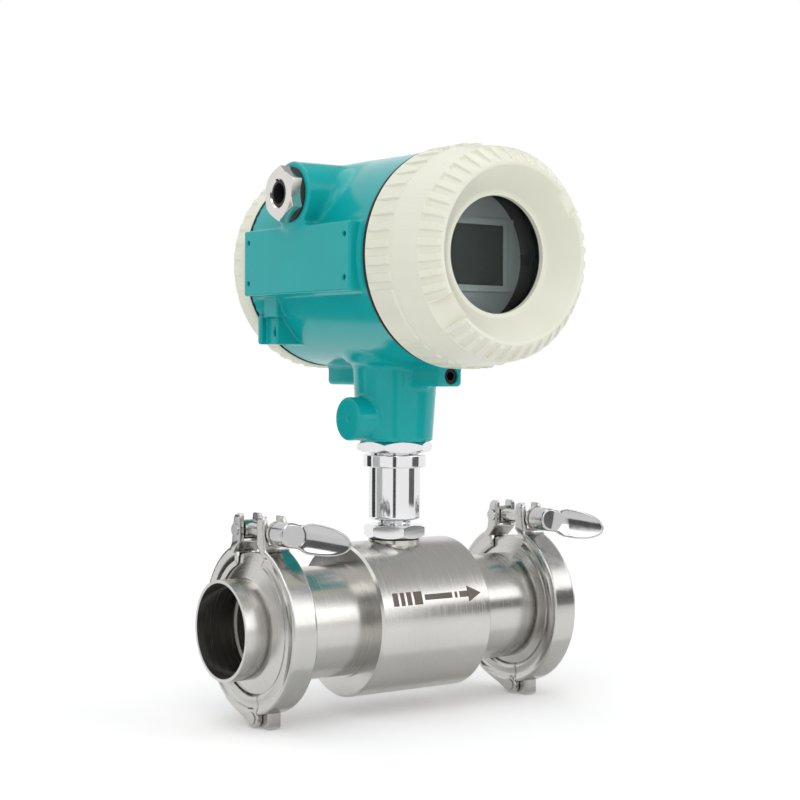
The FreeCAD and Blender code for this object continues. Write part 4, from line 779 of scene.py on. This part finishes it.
def chamfer_rise(corner, face):
    """How far a thirty degree chamfer runs along a nut, from radius face to radius corner."""
    return (corner - face) * math.tan(math.radians(30))


def nut_outline(low, high, flats, bore):
    """Outline of a nut whose ends are chamfered at thirty degrees; hexed gives it its flats."""
    corner, face = flats / math.sqrt(3) + 0.01, flats / 2
    rise = chamfer_rise(corner, face)
    outline = np.array([(low, bore + 0.4), (low, face), (low + rise, corner),
                        (high - rise, corner), (high, face), (high, bore + 0.4),
                        (high - 0.4, bore), (low + 0.4, bore)])
    return denser(outline, 0.2, low - 1, high + 1)


LOCK_FLATS, NECK_FLATS, GLAND_FLATS = 24, 30, 21  # the nuts' sizes across their flats
FOOT_RADIUS = 7.6  # the barrel's threaded foot
SCREW_RADIUS = 11.15  # the stem's threaded end
BARREL_RADIUS, STEM_RADIUS, COLLAR_RADIUS = 11.5, 9.5, 14
SOCKET_RADIUS, BORE_RADIUS = 9.6, 5.2  # the barrel's hollows for the stem and for the pick-off


def make_neck():
    """Lock nut, pick-off barrel, stem with its collar, and the nut under the housing."""
    floor, top = BARREL_LOW[2], BARREL_HIGH[2]
    bore_floor = box_of("sensor_magnet")[0][2]
    lock_low, lock_high = (corner[2] for corner in box_of("lock_nut"))
    neck_low, neck_high = (corner[2] for corner in box_of("neck_nut"))
    stem_low, stem_high = (corner[2] for corner in box_of("neck_stem"))
    show, socket, collar = lock_high + 2.2, top - 9, top + 5.3
    lathe("lock_nut_look", "z", nut_outline(lock_low, lock_high, LOCK_FLATS, 7.7), NECK_AXIS,
          (CHROME, "meter", ["lock_nut"], "chrome_neck"), 360, hexed(LOCK_FLATS, 12), 25)
    lathe("neck_nut_look", "z", nut_outline(neck_low, neck_high, NECK_FLATS, 11.25), NECK_AXIS,
          (CHROME, "meter", ["neck_nut"], "chrome_neck"), 360, hexed(NECK_FLATS, -21), 25)
    thread = (lock_high - 1, show - 0.05)
    barrel = rounded([(floor, 0), (floor, FOOT_RADIUS, 0.6), (lock_high - 1, FOOT_RADIUS),
                      (show, FOOT_RADIUS), (show, BARREL_RADIUS, 1.5), (top, BARREL_RADIUS, 0.5),
                      (top, SOCKET_RADIUS), (socket, SOCKET_RADIUS), (socket, BORE_RADIUS),
                      (bore_floor, BORE_RADIUS), (bore_floor, 0)], 6)
    lathe("sensor_barrel_look", "z", denser(barrel, 0.14, *thread), NECK_AXIS,
          (CHROME, "meter", ["sensor_barrel"], "chrome_neck"), 180,
          threaded(*thread, FOOT_RADIUS, pitch=1.25, deep=0.75), 40)
    thread = (collar + 0.1, neck_low + 1)
    stem = rounded([(stem_low, 4), (stem_low, STEM_RADIUS), (top, STEM_RADIUS),
                    (top, COLLAR_RADIUS, 0.35), (collar, COLLAR_RADIUS, 0.45),
                    (collar, SCREW_RADIUS), (neck_low + 1, SCREW_RADIUS),
                    (stem_high, SCREW_RADIUS, 0.5), (stem_high, 4)], 5)
    lathe("neck_stem_look", "z", denser(stem, 0.14, *thread), NECK_AXIS,
          (CHROME, "meter", ["neck_stem"], "chrome_neck"), 180,
          threaded(*thread, SCREW_RADIUS, pitch=1.1, deep=0.6), 40)


def make_gland():
    """Cable gland body with its chamfered hexagon."""
    outer, inner = -58.5, -40.0
    corner, face = GLAND_FLATS / math.sqrt(3) + 0.01, 10.3
    body = np.array([(outer + 0.7, 5.7), (outer, 6.4), (outer, face),
                     (outer + chamfer_rise(corner, face), corner), (-53, corner), (-53, 8),
                     (inner - 0.8, 8), (inner, 7.2), (inner, 5.7)])
    lathe("gland_body_look", "x", denser(body, 0.25, outer - 1, -52.9),
          (MID_X, ENTRY_Y, ENTRY_Z), (NICKEL, "meter", ["gland_body"], "nickel_gland"), 360,
          hexed(GLAND_FLATS, 90), 25)


MARK_HEIGHT = 11.9  # the mark's middle, measured round the body from its axis
# the mark's patches, as start, end, and half width at the start and at the end
FLOW_MARK = (
    (-23.0, -20.2, 2.9, 2.9), (-19.0, -16.9, 2.9, 2.9), (-15.7, -13.2, 2.9, 2.9),
    (-12.0, -7.6, 2.9, 2.9), (-6.2, 8.6, 1.25, 1.25), (10.0, 11.4, 1.35, 1.35),
    (12.6, 17.2, 1.35, 1.35), (17.2, 24.4, 3.7, 0.02))


def strip(start, end, half_start, half_end):
    """Points and faces of a thin closed patch that follows the body's round surface.

    The first parameter runs along the body from start to end, the second across the patch,
    where the half width changes evenly; the angle round the body is the height / radius.  The
    patch has an outer sheet, an inner sheet just under the surface, and walls between them.
    """
    radius = (BODY_HIGH[1] - BODY_LOW[1]) / 2
    rows, columns = 12, 9
    share = np.linspace(0, 1, rows)[:, None]
    side = np.linspace(-1, 1, columns)[None, :]
    across = MARK_HEIGHT + side * (half_start + share * (half_end - half_start))
    along = MID_X + start + share * (end - start) + 0 * side
    sheets = []
    angle = across / radius
    for rise in (0.02, -0.03):
        sheets.append(np.stack([along, -(radius + rise) * np.cos(angle),
                                (radius + rise) * np.sin(angle)], -1).reshape(-1, 3))
    i, j = np.meshgrid(np.arange(rows - 1), np.arange(columns - 1), indexing="ij")
    first = (i * columns + j).ravel()
    top = np.stack([first, first + columns, first + columns + 1, first + 1], -1)
    rim = np.concatenate([np.arange(columns - 1), (np.arange(rows - 1) + 1) * columns - 1,
                          rows * columns - 1 - np.arange(columns - 1),
                          (rows - 1 - np.arange(rows - 1)) * columns])
    after = np.roll(rim, -1)
    low = rows * columns
    walls = np.stack([rim, after, after + low, rim + low], -1)
    return np.concatenate(sheets), np.concatenate([top, top[:, ::-1] + low, walls])


def make_lcd_frame():
    """Raised edge round the display: a small profile carried round a rectangle, mitred."""
    low, high = box_of("display_lcd")
    middle = (low + high) / 2
    half = (high - low) / 2
    border = 2.3  # how far the frame covers the panel at its left and right ends
    inner = np.array([half[0] - border, half[2]])
    outline = np.array([(0, -0.3), (0, 0.25), (0.2, 0.35), (2.1, 0.35), (2.5, 0.0), (2.5, -0.3)])
    signs = np.array([(-1, -1), (1, -1), (1, 1), (-1, 1)])
    across = signs[None, :, :] * (inner + outline[:, None, :1])
    front = low[1] - np.broadcast_to(outline[:, 1:], across.shape[:2])
    points = np.stack([middle[0] + across[..., 0], front, middle[2] + across[..., 1]], -1)
    make_piece("lcd_frame", points.reshape(-1, 3), grid_faces(len(outline), 4)[:, ::-1],
               (GREY_PLASTIC, "meter", [], "grey_bezel"), sharp=20)


def make_marks():
    """Etched direction mark on the body: four bars, a plain tail, two blocks and an arrow."""
    points, faces, offset = [], [], 0
    for patch in FLOW_MARK:
        spots, quads = strip(*patch)
        points.append(spots)
        faces.append(quads + offset)
        offset += len(spots)
    make_piece("flow_mark", np.concatenate(points), np.concatenate(faces),
               (ETCHED, "meter", [], "stainless_turned"))


# ------------------------------------ studio and camera
CAMERA_LENS = 77.98
CAMERA_SPOT = (MID_X - 451.466, -627.513, 110.798)  # in millimetres
CAMERA_RIGHT = (0.81011, -0.58624, 0.00634)
CAMERA_UP = (0.00613, 0.01929, 0.99980)
CAMERA_BACK = (-0.58624, -0.80991, 0.01922)
CAMERA_REACH = 20

# the rest of the studio is in metres
WORLD_STRENGTH = 0.5
FLOOR_Z = cad_box[0][2]
FLOOR_SPAN = 6.0
FLOOR_GREY = 0.93
FLOOR_LIFT = 0.2  # light added to the floor for the rays that show it
FLOOR_FADE = (0.22, 0.62)  # distances from the neck between which the floor turns to plain white
LIGHT_AIM = (MID_X * MM, 0, 0.08)
# name, place, width and power of each soft box
SOFT_BOXES = (("key", (-0.9, -1.1, 1.3), 1.7, 12), ("fill", (1.3, -1.2, 0.9), 1.5, 7),
              ("top", (0.1, 0.3, 1.8), 1.8, 10))
# name, direction from the neck, distance, width, lowest, highest and shade of each upright card
STANDING_CARDS = (
    ("left_card", (-0.644, 0.764), 0.15, 0.066, 0.005, 0.11, 0.05),
    ("soft_card", (-0.96, 0.28), 0.36, 0.20, -0.03, 0.11, 0.6),
    ("right_card", (0.724, -0.690), 0.36, 0.20, 0.002, 0.10, 0.14),
    ("camera_card", (-0.586, -0.81), 0.36, 0.08, FLOOR_Z, 0.13, 0.07),
    ("wing_card", (-0.777, -0.629), 0.5, 0.3, 0.14, 0.5, 0.12))
# name, corners and shade of the card on the floor and of the high one beyond the outlet
CARD_Z = FLOOR_Z + 0.001
PLACED_CARDS = (
    ("floor_card", [(-0.3, -0.055, CARD_Z), (0.2, -0.055, CARD_Z), (0.2, -0.01, CARD_Z),
                    (-0.3, -0.01, CARD_Z)], 0.85),
    ("high_card", [(0.7, -0.95, 0.6), (0.7, 0.95, 0.6), (0.7, 0.95, 1.5), (0.7, -0.95, 1.5)],
     0.42))


def make_camera():
    """Camera at the front left of the meter, a little above the neck."""
    camera = bpy.data.objects.new("camera", bpy.data.cameras.new("camera"))
    bpy.context.scene.collection.objects.link(camera)
    camera.data.lens = CAMERA_LENS
    camera.data.clip_end = CAMERA_REACH
    matrix = np.eye(4)
    for column, axis in enumerate((CAMERA_RIGHT, CAMERA_UP, CAMERA_BACK)):
        matrix[:3, column] = axis
    matrix[:3, 3] = np.array(CAMERA_SPOT) * MM
    camera.matrix_world = matrix.T.tolist()
    bpy.context.scene.camera = camera


def soft_light(name, spot, size, power):
    """A square soft box that looks at the meter."""
    light = bpy.data.lights.new(name, "AREA")
    light.shape = "SQUARE"
    light.size = size
    light.energy = power
    holder = bpy.data.objects.new(name, light)
    bpy.context.scene.collection.objects.link(holder)
    holder.location = spot
    direction = Vector(LIGHT_AIM) - Vector(spot)
    holder.rotation_euler = direction.to_track_quat("-Z", "Y").to_euler()


def sheet(name, corners, material):
    """A flat sheet between four corners, in metres, with X from the mid plane."""
    mesh = bpy.data.meshes.new(name)
    mesh.from_pydata([(MID_X * MM + x, y, z) for x, y, z in corners], [], [(0, 1, 2, 3)])
    mesh.materials.append(material)
    holder = bpy.data.objects.new(name, mesh)
    bpy.context.scene.collection.objects.link(holder)
    return holder


def dark_card(name, corners, shade):
    """A dark card that polished metal mirrors as a band; only reflections meet it."""
    material, tree, shader = new_material(name)
    shader.inputs["Base Color"].default_value = (shade, shade, shade, 1)
    shader.inputs["Roughness"].default_value = 0.9
    card = sheet(name, corners, material)
    card.visible_camera = card.visible_transmission = False
    card.visible_shadow = card.visible_diffuse = False


def standing_card(name, way, far, wide, low, high, shade):
    """An upright card at some distance from the neck, square to its direction from there."""
    middle = np.array(way) * far
    across = np.array([-way[1], way[0]]) * wide / 2
    left, right = middle - across, middle + across
    dark_card(name, [(*left, low), (*right, low), (*right, high), (*left, high)], shade)


def seen_ray(tree):
    """1 for rays that show the background: from the camera, mirrored or through glass."""
    path = tree.nodes.new("ShaderNodeLightPath")
    total = path.outputs["Is Camera Ray"]
    for kind in ("Is Glossy Ray", "Is Transmission Ray"):
        larger = tree.nodes.new("ShaderNodeMath")
        larger.operation = "MAXIMUM"
        tree.links.new(total, larger.inputs[0])
        tree.links.new(path.outputs[kind], larger.inputs[1])
        total = larger.outputs[0]
    return total


def make_world():
    """White surroundings: dimmer as a light than as a background."""
    world = bpy.data.worlds.new("studio")
    bpy.context.scene.world = world
    world.use_nodes = True
    tree = world.node_tree
    tree.nodes.clear()
    mix = tree.nodes.new("ShaderNodeMixShader")
    tree.links.new(seen_ray(tree), mix.inputs[0])
    for place, strength in ((1, WORLD_STRENGTH), (2, 1)):
        background = tree.nodes.new("ShaderNodeBackground")
        background.inputs["Color"].default_value = (1, 1, 1, 1)
        background.inputs["Strength"].default_value = strength
        tree.links.new(background.outputs[0], mix.inputs[place])
    out = tree.nodes.new("ShaderNodeOutputWorld")
    tree.links.new(mix.outputs[0], out.inputs["Surface"])


def floor_material(low):
    """Pale matte floor that keeps the meter's shadow and fades to plain white further out.

    Near the neck it is a matte grey plus a small share of light for seen rays; the fade is a
    smooth step of the distance from the point under the neck.
    """
    material = bpy.data.materials.new("floor_white")
    material.use_nodes = True
    tree = material.node_tree
    tree.nodes.clear()
    matte = tree.nodes.new("ShaderNodeBsdfDiffuse")
    matte.inputs["Color"].default_value = (FLOOR_GREY, FLOOR_GREY, FLOOR_GREY, 1)
    share = tree.nodes.new("ShaderNodeMath")
    share.operation = "MULTIPLY"
    share.inputs[1].default_value = FLOOR_LIFT
    tree.links.new(seen_ray(tree), share.inputs[0])
    lift = tree.nodes.new("ShaderNodeEmission")
    tree.links.new(share.outputs[0], lift.inputs["Strength"])
    lifted = tree.nodes.new("ShaderNodeAddShader")
    tree.links.new(matte.outputs[0], lifted.inputs[0])
    tree.links.new(lift.outputs[0], lifted.inputs[1])
    coordinates = tree.nodes.new("ShaderNodeTexCoord")
    away = tree.nodes.new("ShaderNodeVectorMath")
    away.operation = "DISTANCE"
    away.inputs[1].default_value = (MID_X * MM, 0, low)
    tree.links.new(coordinates.outputs["Object"], away.inputs[0])
    fade = tree.nodes.new("ShaderNodeMapRange")
    fade.inputs["From Min"].default_value, fade.inputs["From Max"].default_value = FLOOR_FADE
    fade.interpolation_type = "SMOOTHSTEP"
    tree.links.new(away.outputs["Value"], fade.inputs["Value"])
    white = tree.nodes.new("ShaderNodeEmission")
    mix = tree.nodes.new("ShaderNodeMixShader")
    tree.links.new(fade.outputs["Result"], mix.inputs[0])
    tree.links.new(lifted.outputs[0], mix.inputs[1])
    tree.links.new(white.outputs[0], mix.inputs[2])
    out = tree.nodes.new("ShaderNodeOutputMaterial")
    tree.links.new(mix.outputs[0], out.inputs["Surface"])
    return material


def make_floor():
    """The floor, half a millimetre under the meter's lowest point."""
    low = FLOOR_Z - 0.0005
    floor = sheet("floor", [(-FLOOR_SPAN, -FLOOR_SPAN, low), (FLOOR_SPAN, -FLOOR_SPAN, low),
                            (FLOOR_SPAN, FLOOR_SPAN, low), (-FLOOR_SPAN, FLOOR_SPAN, low)],
                  floor_material(low))


def make_studio():
    """White world, pale floor with the meter's shadow, soft boxes, and cards to mirror."""
    bpy.context.scene.view_settings.view_transform = "Standard"
    make_world()
    make_floor()
    for box in SOFT_BOXES:
        soft_light(*box)
    for card in STANDING_CARDS:
        standing_card(*card)
    for card in PLACED_CARDS:
        dark_card(*card)


dress_cad_nodes()
make_covers()
make_housing()
make_clamps()
make_neck()
make_gland()
make_marks()
make_lcd_frame()
make_camera()
make_studio()
